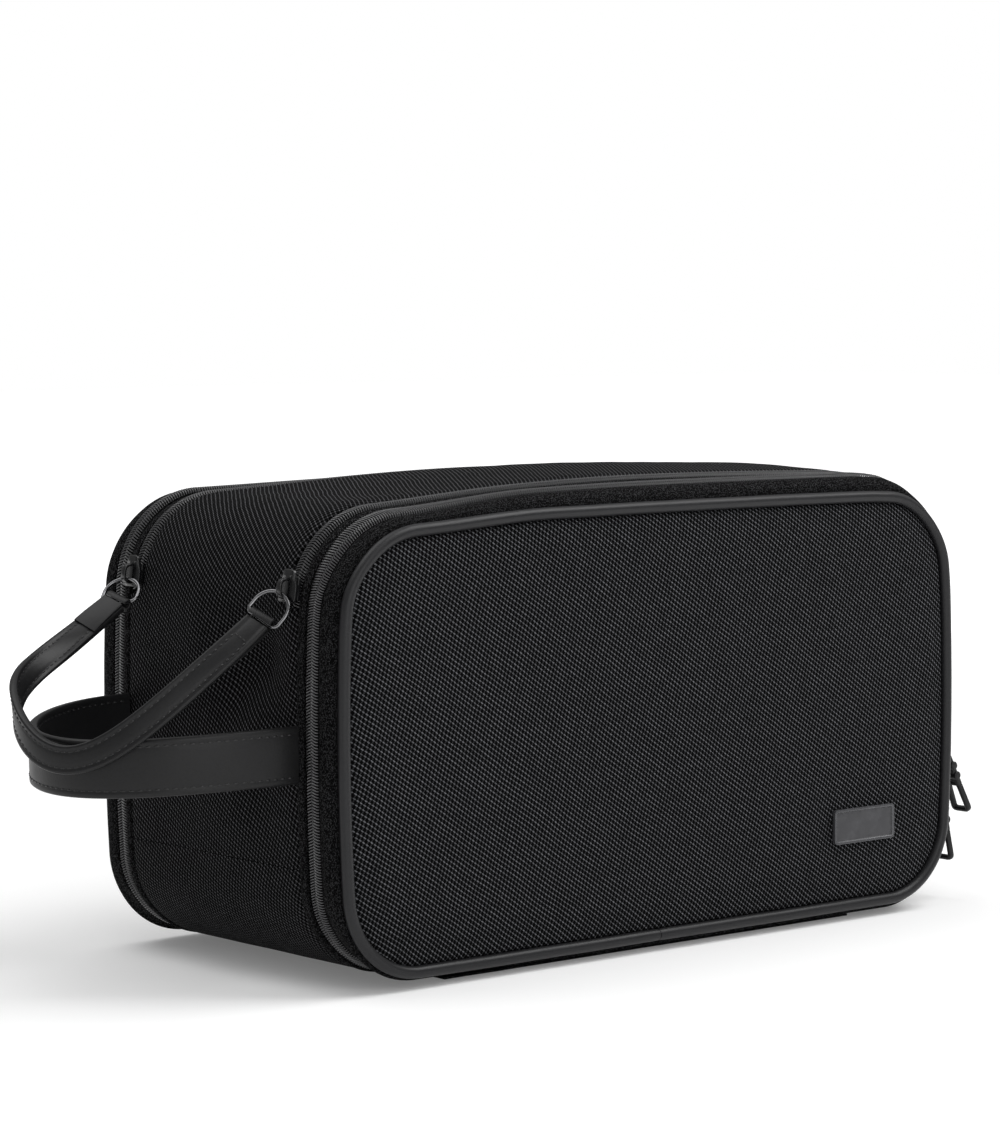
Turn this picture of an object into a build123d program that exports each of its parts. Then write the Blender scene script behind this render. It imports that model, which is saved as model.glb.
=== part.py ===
"""Soft black toiletry bag, in millimetres.

The bag stands on its base at z = 0, with its length along X and its front
towards -Y.  The padded front and rear panels are lids on outer zips, the top is a
flap inside a U shaped main zip, and a wrist strap joins the two main sliders.
"""
import os
from math import asin, cos, pi, sin

from build123d import *

os.makedirs("parts", exist_ok=True)

# Outline of the padded panels, at the centre line of their piping
rim_width = 258.8
rim_height = 138.9
rim_floor_gap = 4.6
corner_radius = 27.0
side_bow = 3.2
top_bow = 1.0
piping_diameter = 4.6

# Depths, front to back
bag_depth = 124.4
outer_zip_inset = 11.4
main_zip_inset = 21.0
panel_thickness = 4.0
panel_edge_round = 1.6
divider_thickness = 1.6

# Fabric walls and how far they stand out from the piping's centre line
wall = 2.4
lid_band_grow = 3.6
outer_zip_grow = 4.2
outer_zip_rise = 0.5
gusset_rise = -0.2
body_grow = 4.4
body_rise = 1.1
body_bow = 3.2
crown_grow = 1.0
crown_rise = -0.7
crown_bow = 2.4
floor_trim = 0.2

# Zip chain, drawn as two smooth halves with a seam between them
chain_width = 6.4
chain_seam = 1.0
coil_height = 2.0
chain_tail = 12.0

# Clearances
sewn_gap = 0.2
moving_gap = 0.3

# Heights of seams and zips on the two ends
base_seam_height = 36.6
flap_fold_height = 129.6
parked_chain_length = 12.5
slider_park_drop = 4.95
cross_zip_height = 120.6

# Sliders
slider_length = 10.0
slider_width = 8.4
slider_under_width = 5.6
slider_plate = 1.2
slider_under_plate = 1.0
slider_lift = 0.5
slider_under_lift = 0.8
slider_web = 0.5
slider_web_length = 3.0
slider_web_setback = 0.5
bail_length = 6.6
bail_bar = 1.0
bail_hole_height = 2.4
bail_width = 2.0
upper_slider_height = 57.1
lower_slider_height = 43.6

# Zip pulls
pull_wire = 1.3
pull_eye_length = 6.0
pull_eye_width = 6.4
pull_tab_length = 15.0
pull_tab_neck = 4.4
pull_tab_wide = 6.6
pull_thickness = 2.2
pull_rib_diameter = 3.0
pull_rib_spacing = 3.9
pull_loop_length = 10.5
pull_loop_wide = 8.4
pull_loop_bar = 1.7
upper_pull_lean = 25.0
lower_pull_lean = 8.0

# Wrist strap and its rings
strap_width = 8.6
strap_thickness = 2.4
strap_bulge = 57.6
strap_sag = 38.5
strap_sway = 6.3
strap_ripple = 2.2
strap_stations = 17
ring_wire = 1.5
ring_length = 12.5
ring_lean = 33.0
ring_side_gap = 0.8
ring_corner = 1.95

# Side handle
handle_height = 17.5
handle_low = 62.1
handle_thickness = 2.8
handle_bulge = 58.5
handle_span = 92.0

# Name plate
plate_width = 28.0
plate_height = 11.6
plate_thickness = 1.4
plate_rim = 1.1
plate_recess = 0.5
plate_x = 87.0
plate_z = 31.9

# Worked out places
piping_y = bag_depth / 2
outer_zip_y = piping_y - outer_zip_inset
main_zip_y = piping_y - main_zip_inset
main_zip_end_height = flap_fold_height - parked_chain_length
half_chain = chain_width / 2
half_seam = chain_seam / 2
body_half_depth = main_zip_y + half_chain
flap_half_depth = main_zip_y - half_chain - sewn_gap
gusset_outer_y = outer_zip_y - half_chain - sewn_gap
gusset_inner_y = body_half_depth + sewn_gap
body_drop = rim_floor_gap - body_grow
far = rim_width + rim_height + bag_depth


def rim(y, grow, rise=0.0, drop=0.0, bow=top_bow):
    """The bag's rounded outline on the plane at depth y."""
    half = rim_width / 2 - side_bow + grow
    top = rim_floor_gap + rim_height - top_bow + grow + rise
    low = rim_floor_gap - grow - drop
    middle = (top + low) / 2
    with BuildSketch(Plane.XZ.offset(-y)) as face:
        with BuildLine():
            Line((-half, low), (half, low))
            ThreePointArc((half, low), (half + side_bow, middle), (half, top))
            ThreePointArc((half, top), (0, top + bow), (-half, top))
            ThreePointArc((-half, top), (-half - side_bow, middle), (-half, low))
        make_face()
        fillet(face.vertices(), corner_radius + grow)
    return face.sketch


FRONTWARD = (0, -1, 0)


def band(y_front, y_back, grow, thickness, rise=0.0, drop=0.0, bow=top_bow):
    """A band of cloth or coil that runs right round the outline."""
    depth = y_back - y_front
    with BuildPart() as ring:
        extrude(rim(y_back, grow, rise, drop, bow), amount=depth, dir=FRONTWARD)
        inner = rim(y_back, grow - thickness, rise, drop, bow)
        extrude(inner, amount=depth, dir=FRONTWARD, mode=Mode.SUBTRACT)
    return ring.part


def crowned_band(half_depth):
    """The wide centre band, fuller along its middle, and low enough to be cut flat."""
    edge_drop = body_drop + floor_trim
    full_grow = body_grow + crown_grow
    full_rise = body_rise + crown_rise
    full_bow = body_bow + crown_bow
    edge_back = rim(half_depth, body_grow, body_rise, edge_drop, body_bow)
    middle = rim(0, full_grow, full_rise, edge_drop - crown_grow, full_bow)
    edge_front = rim(-half_depth, body_grow, body_rise, edge_drop, body_bow)
    inner = rim(half_depth, body_grow - wall, body_rise, edge_drop, body_bow)
    with BuildPart() as ring:
        loft([edge_back, middle, edge_front])
        extrude(inner, amount=2 * half_depth, dir=FRONTWARD, mode=Mode.SUBTRACT)
    return ring.part


def keep_box(x_range, y_range, z_range, mode=Mode.INTERSECT):
    """Keep or cut the space between two limits along each axis."""
    middle = [(low + high) / 2 for low, high in (x_range, y_range, z_range)]
    size = [high - low for low, high in (x_range, y_range, z_range)]
    with Locations(tuple(middle)):
        Box(*size, mode=mode)


def corner_centre(grow, rise, drop, bow, side):
    """Centre of the upper corner arc of an outline, side -1 left or 1 right."""
    arcs = rim(0, grow, rise, drop, bow).edges().filter_by(GeomType.CIRCLE)
    rounds = arcs.filter_by(lambda edge: abs(edge.radius - corner_radius - grow) < 0.01)
    upper = rounds.sort_by(Axis.Z)[-2:].sort_by(Axis.X)
    return upper[0].arc_center if side < 0 else upper[-1].arc_center


def side_x(height, grow, rise=0.0, drop=0.0):
    """How far the bowed side of an outline reaches along X at a height."""
    top = rim_floor_gap + rim_height - top_bow + grow + rise
    low = rim_floor_gap - grow - drop
    half_height = (top - low) / 2
    radius = (half_height**2 + side_bow**2) / (2 * side_bow)
    lift = height - (top + low) / 2
    inset = radius - (radius**2 - lift**2) ** 0.5
    return rim_width / 2 + grow - inset


# Front panel, padded, inside its piping
panel_grow = -piping_diameter / 2 - sewn_gap
panel_back_y = -piping_y + panel_thickness - 0.5 * piping_diameter / 2
with BuildPart() as front_panel:
    extrude(rim(panel_back_y, panel_grow), amount=panel_thickness, dir=FRONTWARD)
    front_edges = front_panel.faces().sort_by(Axis.Y)[0].edges()
    fillet(front_edges, panel_edge_round)
front_panel.part.label = "front_panel"
export_step(front_panel.part, "parts/front_panel.step")

# Front piping, a round welt sewn round the panel's edge
piping_path = rim(-piping_y, 0).face().outer_wire()
with BuildPart() as front_piping:
    with BuildSketch(Plane(origin=piping_path @ 0, z_dir=piping_path % 0)):
        Circle(piping_diameter / 2)
    sweep(path=piping_path)
front_piping.part.label = "front_piping"
export_step(front_piping.part, "parts/front_piping.step")

# Front lid band, the strip of cloth between the piping and the outer zip
lid_band_front_y = -piping_y + piping_diameter / 2 + sewn_gap
lid_band_back_y = -outer_zip_y - half_chain - sewn_gap
with BuildPart() as front_lid_band:
    add(band(lid_band_front_y, lid_band_back_y, lid_band_grow, wall))
front_lid_band.part.label = "front_lid_band"
export_step(front_lid_band.part, "parts/front_lid_band.step")

# Outer zip, front: one half sewn to the lid and one to the body
chain_end_x = rim_width / 2 - side_bow - corner_radius - chain_tail
lower_arc_top = rim_floor_gap + corner_radius


def outer_zip_half(y_front, y_back):
    """Half of an outer zip: up one end, over the top and down the other."""
    with BuildPart() as half:
        add(band(y_front, y_back, outer_zip_grow, coil_height, outer_zip_rise))
        floor_stretch = (-chain_end_x, chain_end_x)
        keep_box(floor_stretch, (y_front, y_back), (-far, lower_arc_top), Mode.SUBTRACT)
    return half.part


with BuildPart() as front_zip_lid_half:
    add(outer_zip_half(-outer_zip_y - half_chain, -outer_zip_y - half_seam))
front_zip_lid_half.part.label = "front_zip_lid_half"
export_step(front_zip_lid_half.part, "parts/front_zip_lid_half.step")

with BuildPart() as front_zip_body_half:
    add(outer_zip_half(-outer_zip_y + half_seam, -outer_zip_y + half_chain))
front_zip_body_half.part.label = "front_zip_body_half"
export_step(front_zip_body_half.part, "parts/front_zip_body_half.step")

# Front gusset, the narrow strip between the outer zip and the main zip
with BuildPart() as front_gusset:
    gusset_y = (-gusset_outer_y, -gusset_inner_y)
    add(band(*gusset_y, body_grow, wall, gusset_rise, body_drop, body_bow))
front_gusset.part.label = "front_gusset"
export_step(front_gusset.part, "parts/front_gusset.step")

# Front divider, the lined wall between the front pocket and the main room
divider_grow = body_grow - wall - sewn_gap
with BuildPart() as front_divider:
    divider_face = rim(-gusset_inner_y, divider_grow, gusset_rise, body_drop, body_bow)
    extrude(divider_face, amount=divider_thickness, dir=FRONTWARD)
front_divider.part.label = "front_divider"
export_step(front_divider.part, "parts/front_divider.step")

# Front hinge strip, the cloth under the lid that it folds open on
hinge_strip_half = chain_end_x - sewn_gap
hinge_strip_thickness = rim_floor_gap - lid_band_grow - sewn_gap
with BuildPart() as front_hinge_strip:
    strip_x = (-hinge_strip_half, hinge_strip_half)
    strip_y = (lid_band_front_y, -gusset_outer_y - sewn_gap)
    keep_box(strip_x, strip_y, (0, hinge_strip_thickness), Mode.ADD)
front_hinge_strip.part.label = "front_hinge_strip"
export_step(front_hinge_strip.part, "parts/front_hinge_strip.step")

# Rear pieces, the front ones mirrored
with BuildPart() as rear_panel:
    mirror(front_panel.part, about=Plane.XZ)
rear_panel.part.label = "rear_panel"
export_step(rear_panel.part, "parts/rear_panel.step")

with BuildPart() as rear_piping:
    mirror(front_piping.part, about=Plane.XZ)
rear_piping.part.label = "rear_piping"
export_step(rear_piping.part, "parts/rear_piping.step")

with BuildPart() as rear_lid_band:
    mirror(front_lid_band.part, about=Plane.XZ)
rear_lid_band.part.label = "rear_lid_band"
export_step(rear_lid_band.part, "parts/rear_lid_band.step")

with BuildPart() as rear_zip_lid_half:
    mirror(front_zip_lid_half.part, about=Plane.XZ)
rear_zip_lid_half.part.label = "rear_zip_lid_half"
export_step(rear_zip_lid_half.part, "parts/rear_zip_lid_half.step")

with BuildPart() as rear_zip_body_half:
    mirror(front_zip_body_half.part, about=Plane.XZ)
rear_zip_body_half.part.label = "rear_zip_body_half"
export_step(rear_zip_body_half.part, "parts/rear_zip_body_half.step")

with BuildPart() as rear_gusset:
    mirror(front_gusset.part, about=Plane.XZ)
rear_gusset.part.label = "rear_gusset"
export_step(rear_gusset.part, "parts/rear_gusset.step")

with BuildPart() as rear_divider:
    mirror(front_divider.part, about=Plane.XZ)
rear_divider.part.label = "rear_divider"
export_step(rear_divider.part, "parts/rear_divider.step")

with BuildPart() as rear_hinge_strip:
    mirror(front_hinge_strip.part, about=Plane.XZ)
rear_hinge_strip.part.label = "rear_hinge_strip"
export_step(rear_hinge_strip.part, "parts/rear_hinge_strip.step")

# Base, with the two lower corners of the centre band
body_y = (-body_half_depth, body_half_depth)
with BuildPart() as base_panel:
    add(crowned_band(body_half_depth))
    keep_box((-far, far), body_y, (0, base_seam_height))
base_panel.part.label = "base_panel"
export_step(base_panel.part, "parts/base_panel.step")

# Left end of the centre band, open beside the sliders where the main zip starts
end_low = base_seam_height + sewn_gap
slot_inner_y = flap_half_depth
with BuildPart() as left_end_panel:
    add(crowned_band(body_half_depth))
    keep_box((-far, 0), body_y, (end_low, flap_fold_height - moving_gap / 2))
    slot_z = (main_zip_end_height - sewn_gap, far)
    keep_box((-far, 0), (-far, -slot_inner_y), slot_z, Mode.SUBTRACT)
    keep_box((-far, 0), (slot_inner_y, far), slot_z, Mode.SUBTRACT)
left_end_panel.part.label = "left_end_panel"
export_step(left_end_panel.part, "parts/left_end_panel.step")

# Right end of the centre band, up to the zip that crosses it
cross_low = cross_zip_height - half_chain
cross_high = cross_zip_height + half_chain
with BuildPart() as right_end_panel:
    add(crowned_band(body_half_depth))
    keep_box((0, far), body_y, (end_low, cross_low - sewn_gap))
right_end_panel.part.label = "right_end_panel"
export_step(right_end_panel.part, "parts/right_end_panel.step")

# Top flap, folded at the left end and free at the right
fold_low = flap_fold_height + moving_gap / 2
flap_y = (-flap_half_depth, flap_half_depth)
with BuildPart() as top_flap_panel:
    add(crowned_band(flap_half_depth))
    keep_box((-far, 0), (-far, far), (-far, fold_low), Mode.SUBTRACT)
    keep_box((0, far), (-far, far), (-far, cross_high + sewn_gap), Mode.SUBTRACT)
top_flap_panel.part.label = "top_flap_panel"
export_step(top_flap_panel.part, "parts/top_flap_panel.step")


def main_chain_band(y_front, y_back):
    """A stretch of coil round the outline at the main zip's height."""
    return band(y_front, y_back, body_grow, coil_height, body_rise, body_drop, body_bow)


def main_zip_half(side, left_low, right_low, cross_range):
    """One half of the U shaped main zip, on its outer (1) or inner (-1) side."""
    edges = (main_zip_y + side * half_seam, main_zip_y + side * half_chain)
    near, wide = min(edges), max(edges)
    with BuildPart() as half:
        add(main_chain_band(-wide, -near))
        add(main_chain_band(near, wide))
        keep_box((-far, 0), (-far, far), (-far, left_low), Mode.SUBTRACT)
        keep_box((0, far), (-far, far), (-far, right_low), Mode.SUBTRACT)
    with BuildPart() as across:
        add(main_chain_band(-wide, wide))
        keep_box((0, far), (-wide, wide), cross_range)
    with BuildPart() as whole:
        add(half.part)
        add(across.part)
    return whole.part


# Main zip, the half on the body, with the closed ends that the sliders park on
body_cross = (cross_low, cross_zip_height - half_seam)
with BuildPart() as main_zip_body_half:
    add(main_zip_half(1, main_zip_end_height, cross_low, body_cross))
main_zip_body_half.part.label = "main_zip_body_half"
export_step(main_zip_body_half.part, "parts/main_zip_body_half.step")

parked_inner = (main_zip_y - half_chain, main_zip_y - half_seam)
parked_z = (main_zip_end_height, flap_fold_height - moving_gap / 2)
with BuildPart() as front_parked_chain:
    add(main_chain_band(-parked_inner[1], -parked_inner[0]))
    keep_box((-far, 0), (-far, far), parked_z)
with BuildPart() as main_zip_parked_ends:
    add(front_parked_chain.part)
    mirror(front_parked_chain.part, about=Plane.XZ)
main_zip_parked_ends.part.label = "main_zip_parked_ends"
export_step(main_zip_parked_ends.part, "parts/main_zip_parked_ends.step")

# Main zip, the half on the flap
flap_cross = (cross_zip_height + half_seam, cross_high)
with BuildPart() as main_zip_flap_half:
    add(main_zip_half(-1, fold_low, cross_zip_height + half_seam, flap_cross))
main_zip_flap_half.part.label = "main_zip_flap_half"
export_step(main_zip_flap_half.part, "parts/main_zip_flap_half.step")


def slider(place):
    """A zip slider on a plane whose X runs towards its head and Z points out."""
    under = -coil_height - slider_under_lift
    plate_top = slider_lift + slider_plate
    bail_height = bail_hole_height + bail_bar
    web_middle = (slider_length - slider_web_length) / 2 - slider_web_setback
    upright = Plane(origin=place.origin, x_dir=place.x_dir, z_dir=-place.y_dir)
    with BuildPart() as body:
        with BuildSketch(place.offset(slider_lift)):
            RectangleRounded(slider_length, slider_width, slider_width / 4)
        extrude(amount=slider_plate)
        with BuildSketch(place.offset(under - slider_under_plate)):
            RectangleRounded(slider_length, slider_under_width, slider_under_width / 4)
        extrude(amount=slider_under_plate)
        with BuildSketch(upright):
            with Locations((web_middle, (under + slider_lift) / 2)):
                Rectangle(slider_web_length, slider_lift - under + slider_plate / 2)
        extrude(amount=slider_web / 2, both=True)
        with BuildSketch(upright):
            with Locations((0, plate_top + bail_height / 2 - bail_bar / 4)):
                RectangleRounded(bail_length, bail_height + bail_bar / 2, bail_bar)
            with Locations((0, plate_top + bail_hole_height / 2)):
                Rectangle(bail_length - 2 * bail_bar, bail_hole_height, mode=Mode.SUBTRACT)
        extrude(amount=bail_width / 2, both=True)
    return body.part


def pivot_of(place):
    """The middle of the hole in a slider's bail."""
    return place.origin + place.z_dir * (slider_lift + slider_plate + bail_hole_height / 2)


def zip_pull(pivot, lean):
    """A moulded pull hanging from a pivot, leaning out along +X by an angle."""
    radians = lean * pi / 180
    hang = Vector(sin(radians), 0, -cos(radians))
    out = Vector(cos(radians), 0, sin(radians))
    flat = Plane(origin=pivot, x_dir=hang, z_dir=out)
    eye_hole = (pull_eye_length - pull_wire, pull_eye_width - 2 * pull_wire)
    tab_start = pull_eye_length - pull_wire / 2
    tab_end = tab_start + pull_tab_length
    loop_end = tab_end + pull_loop_length
    with BuildPart() as body:
        with BuildSketch(flat):
            with Locations((pull_eye_length / 2, 0)):
                RectangleRounded(pull_eye_length + pull_wire, pull_eye_width, pull_wire)
                Rectangle(*eye_hole, mode=Mode.SUBTRACT)
        extrude(amount=pull_wire / 2, both=True)
        with BuildSketch(flat):
            with BuildLine():
                Polyline(
                    (tab_start, pull_tab_neck / 2),
                    (tab_end, pull_tab_wide / 2),
                    (loop_end, pull_loop_wide / 2),
                    (loop_end, -pull_loop_wide / 2),
                    (tab_end, -pull_tab_wide / 2),
                    (tab_start, -pull_tab_neck / 2),
                    close=True,
                )
            make_face()
            with BuildLine():
                Polyline(
                    (tab_end, pull_tab_wide / 2 - pull_loop_bar),
                    (loop_end - pull_loop_bar, pull_loop_wide / 2 - pull_loop_bar),
                    (loop_end - pull_loop_bar, -pull_loop_wide / 2 + pull_loop_bar),
                    (tab_end, -pull_tab_wide / 2 + pull_loop_bar),
                    close=True,
                )
            make_face(mode=Mode.SUBTRACT)
        extrude(amount=pull_thickness / 2, both=True)
        for rib in (1, 2):
            with BuildSketch(Plane(origin=flat.origin, x_dir=hang, z_dir=flat.y_dir)):
                with Locations((tab_end - rib * pull_rib_spacing, 0)):
                    Circle(pull_rib_diameter / 2)
            extrude(amount=pull_tab_wide / 2, both=True)
    return body.part


# Sliders and pulls of the front outer zip, closed head to head on the right end
def right_slider_place(height, head):
    """Plane of a front slider on the right end, its head up (1) or down (-1)."""
    x = side_x(height, outer_zip_grow, outer_zip_rise)
    return Plane(origin=(x, -outer_zip_y, height), x_dir=(0, 0, head), z_dir=(1, 0, 0))


front_upper_place = right_slider_place(upper_slider_height, -1)
with BuildPart() as front_upper_slider:
    add(slider(front_upper_place))
front_upper_slider.part.label = "front_upper_slider"
export_step(front_upper_slider.part, "parts/front_upper_slider.step")

with BuildPart() as front_upper_pull:
    add(zip_pull(pivot_of(front_upper_place), upper_pull_lean))
front_upper_pull.part.label = "front_upper_pull"
export_step(front_upper_pull.part, "parts/front_upper_pull.step")

front_lower_place = right_slider_place(lower_slider_height, 1)
with BuildPart() as front_lower_slider:
    add(slider(front_lower_place))
front_lower_slider.part.label = "front_lower_slider"
export_step(front_lower_slider.part, "parts/front_lower_slider.step")

with BuildPart() as front_lower_pull:
    add(zip_pull(pivot_of(front_lower_place), lower_pull_lean))
front_lower_pull.part.label = "front_lower_pull"
export_step(front_lower_pull.part, "parts/front_lower_pull.step")

# Sliders and pulls of the rear outer zip, the front ones mirrored
with BuildPart() as rear_upper_slider:
    mirror(front_upper_slider.part, about=Plane.XZ)
rear_upper_slider.part.label = "rear_upper_slider"
export_step(rear_upper_slider.part, "parts/rear_upper_slider.step")

with BuildPart() as rear_upper_pull:
    mirror(front_upper_pull.part, about=Plane.XZ)
rear_upper_pull.part.label = "rear_upper_pull"
export_step(rear_upper_pull.part, "parts/rear_upper_pull.step")

with BuildPart() as rear_lower_slider:
    mirror(front_lower_slider.part, about=Plane.XZ)
rear_lower_slider.part.label = "rear_lower_slider"
export_step(rear_lower_slider.part, "parts/rear_lower_slider.step")

with BuildPart() as rear_lower_pull:
    mirror(front_lower_pull.part, about=Plane.XZ)
rear_lower_pull.part.label = "rear_lower_pull"
export_step(rear_lower_pull.part, "parts/rear_lower_pull.step")

# Sliders of the main zip, parked on the left corner arc below the flap's fold
travel_centre = corner_centre(body_grow, body_rise, body_drop, body_bow, -1)
travel_radius = corner_radius + body_grow
park_angle = asin((flap_fold_height - slider_park_drop - travel_centre.Z) / travel_radius)
park_out = Vector(-cos(park_angle), 0, sin(park_angle))
park_down = Vector(-sin(park_angle), 0, -cos(park_angle))
park_point = travel_centre + park_out * travel_radius
main_front_origin = Vector(park_point.X, -main_zip_y, park_point.Z)
main_front_place = Plane(origin=main_front_origin, x_dir=park_down, z_dir=park_out)
with BuildPart() as main_front_slider:
    add(slider(main_front_place))
main_front_slider.part.label = "main_front_slider"
export_step(main_front_slider.part, "parts/main_front_slider.step")

with BuildPart() as main_rear_slider:
    mirror(main_front_slider.part, about=Plane.XZ)
main_rear_slider.part.label = "main_rear_slider"
export_step(main_rear_slider.part, "parts/main_rear_slider.step")

# D shaped rings of bent wire that join the strap to the main sliders
strap_pivot = pivot_of(main_front_place)
ring_angle = ring_lean * pi / 180
ring_hang = Vector(-sin(ring_angle), 0, -cos(ring_angle))
ring_out = Vector(-cos(ring_angle), 0, sin(ring_angle))
ring_reach = ring_length - ring_wire
ring_width = strap_width + 2 * ring_side_gap + ring_wire
ring_arch_start = (ring_width - ring_reach) / 2
ring_middle = strap_pivot + ring_hang * (ring_reach / 2)
ring_plane = Plane(origin=ring_middle, x_dir=ring_hang, z_dir=ring_out)
with BuildPart() as front_ring:
    with BuildSketch(ring_plane, mode=Mode.PRIVATE) as ring_line:
        with BuildLine():
            Line((ring_reach / 2, -ring_width / 2), (ring_reach / 2, ring_width / 2))
            Line((ring_reach / 2, ring_width / 2), (ring_arch_start, ring_width / 2))
            ThreePointArc(
                (ring_arch_start, ring_width / 2),
                (-ring_reach / 2, 0),
                (ring_arch_start, -ring_width / 2),
            )
            Line((ring_arch_start, -ring_width / 2), (ring_reach / 2, -ring_width / 2))
        make_face()
        fillet(ring_line.vertices().group_by(Axis.X)[-1], ring_corner)
    ring_path = ring_line.sketch.face().outer_wire()
    with BuildSketch(Plane(origin=ring_path @ 0, z_dir=ring_path % 0)):
        Circle(ring_wire / 2)
    sweep(path=ring_path)
front_ring.part.label = "front_ring"
export_step(front_ring.part, "parts/front_ring.step")

with BuildPart() as rear_ring:
    mirror(front_ring.part, about=Plane.XZ)
rear_ring.part.label = "rear_ring"
export_step(rear_ring.part, "parts/rear_ring.step")

# Wrist strap, a flat stitched band from ring to ring that sags and turns on edge
strap_end = strap_pivot + ring_hang * ring_reach


def strap_point(turn):
    """Centre of the strap at an angle from -90 degrees, front, to 90, rear."""
    x = strap_end.X - strap_bulge * cos(turn)
    lift = strap_sway * sin(2 * turn) + strap_ripple * sin(4 * turn)
    return Vector(x, main_zip_y * sin(turn), strap_end.Z - strap_sag * cos(turn) + lift)


def strap_place(turn):
    """Plane across the strap, its X along the strap's width, on edge for most of it."""
    lift = 2 * strap_sway * cos(2 * turn) + 4 * strap_ripple * cos(4 * turn)
    slope_z = strap_sag * sin(turn) + lift
    along = Vector(strap_bulge * sin(turn), main_zip_y * cos(turn), slope_z).normalized()
    twist = 2 / pi * turn * abs(turn)
    edge = Vector(0, sin(twist), -cos(twist))
    edge = edge - along * edge.dot(along)
    return Plane(origin=strap_point(turn), x_dir=edge, z_dir=along)


strap_sections = []
for station in range(strap_stations):
    strap_turn = pi * (station / (strap_stations - 1) - 0.5)
    with BuildSketch(strap_place(strap_turn)) as strap_section:
        Rectangle(strap_width, strap_thickness)
    strap_sections.append(strap_section.sketch)

strap_fold_radius = ring_wire / 2 + moving_gap + strap_thickness / 2
with BuildPart() as wrist_strap:
    loft(strap_sections, ruled=True)
    for side in (-1, 1):
        fold_origin = Vector(strap_end.X, side * main_zip_y - strap_width / 2, strap_end.Z)
        with BuildSketch(Plane(origin=fold_origin, z_dir=(0, 1, 0))):
            Circle(strap_fold_radius)
        extrude(amount=strap_width)
    for side in (-1, 1):
        fold_origin = Vector(strap_end.X, side * main_zip_y - strap_width, strap_end.Z)
        with BuildSketch(Plane(origin=fold_origin, z_dir=(0, 1, 0))):
            Circle(ring_wire / 2 + moving_gap)
        extrude(amount=2 * strap_width, mode=Mode.SUBTRACT)
wrist_strap.part.label = "wrist_strap"
export_step(wrist_strap.part, "parts/wrist_strap.step")

# Side handle, a wide band sewn into the two seams of the left end
handle_x = -side_x(handle_low, body_grow, gusset_rise, body_drop) - sewn_gap
handle_inner_bulge = handle_bulge - handle_thickness
handle_inner_half = handle_span / 2 - handle_thickness
with BuildPart() as side_handle:
    with BuildSketch(Plane.XY.offset(handle_low)):
        with Locations((handle_x, 0)):
            Ellipse(handle_bulge, handle_span / 2)
            Ellipse(handle_inner_bulge, handle_inner_half, mode=Mode.SUBTRACT)
        with Locations((handle_x + handle_bulge, 0)):
            Rectangle(2 * handle_bulge, 2 * handle_span, mode=Mode.SUBTRACT)
    extrude(amount=handle_height)
side_handle.part.label = "side_handle"
export_step(side_handle.part, "parts/side_handle.step")

# Bare name plate with a raised rim, riveted to the front panel
plate_back_y = panel_back_y - panel_thickness
with BuildPart() as name_plate:
    with BuildSketch(Plane.XZ.offset(-plate_back_y)):
        with Locations((plate_x, plate_z)):
            RectangleRounded(plate_width, plate_height, plate_rim)
    extrude(amount=plate_thickness)
    with BuildSketch(Plane.XZ.offset(-plate_back_y + plate_thickness)):
        with Locations((plate_x, plate_z)):
            Rectangle(plate_width - 2 * plate_rim, plate_height - 2 * plate_rim)
    extrude(amount=-plate_recess, mode=Mode.SUBTRACT)
name_plate.part.label = "name_plate"
export_step(name_plate.part, "parts/name_plate.step")
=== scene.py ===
"""The looks of a soft black toiletry bag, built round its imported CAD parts.

Everything stands in the CAD frame: the base on z = 0, the length along X and the
front towards -Y.  Sizes in the classes are in millimetres, and meshes in metres.
"""

import functools
import logging
import math
from collections.abc import Callable, Iterable, Iterator, Sequence
from dataclasses import dataclass, field, replace
from enum import Enum

import bmesh
import bpy
from mathutils import Matrix, Vector, noise
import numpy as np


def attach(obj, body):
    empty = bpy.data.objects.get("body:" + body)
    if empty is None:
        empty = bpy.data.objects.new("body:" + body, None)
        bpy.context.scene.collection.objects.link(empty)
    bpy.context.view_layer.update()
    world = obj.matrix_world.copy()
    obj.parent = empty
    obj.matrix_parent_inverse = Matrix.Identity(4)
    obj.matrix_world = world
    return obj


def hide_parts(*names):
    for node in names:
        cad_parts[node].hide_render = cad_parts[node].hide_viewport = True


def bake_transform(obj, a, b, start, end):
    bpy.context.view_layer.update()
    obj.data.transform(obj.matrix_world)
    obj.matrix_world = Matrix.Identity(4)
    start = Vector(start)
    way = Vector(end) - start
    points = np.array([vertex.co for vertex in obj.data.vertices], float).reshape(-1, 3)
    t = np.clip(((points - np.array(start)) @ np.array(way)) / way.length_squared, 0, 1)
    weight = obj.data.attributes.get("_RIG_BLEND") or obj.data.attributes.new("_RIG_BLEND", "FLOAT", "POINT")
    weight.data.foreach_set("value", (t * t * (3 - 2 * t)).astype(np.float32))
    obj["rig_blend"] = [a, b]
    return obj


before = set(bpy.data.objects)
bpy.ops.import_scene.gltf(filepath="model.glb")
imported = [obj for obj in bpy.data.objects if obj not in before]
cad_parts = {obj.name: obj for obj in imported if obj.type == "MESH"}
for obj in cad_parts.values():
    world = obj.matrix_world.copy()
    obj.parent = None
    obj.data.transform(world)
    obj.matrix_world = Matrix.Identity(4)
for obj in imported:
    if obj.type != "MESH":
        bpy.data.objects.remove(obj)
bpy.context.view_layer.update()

LOG = logging.getLogger("toiletry_bag")
MM = 0.001
Pair = tuple[float, float]
Triple = tuple[float, float, float]


class Worded(Enum):
    """A choice whose name is also a word in the names of nodes and bodies."""

    @property
    def word(self) -> str:
        """The choice's name as the CAD nodes spell it."""
        return self.name.lower()


class Side(Worded):
    """The two padded faces of the bag; the value is the sign of their Y."""

    FRONT = -1
    REAR = 1


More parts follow.
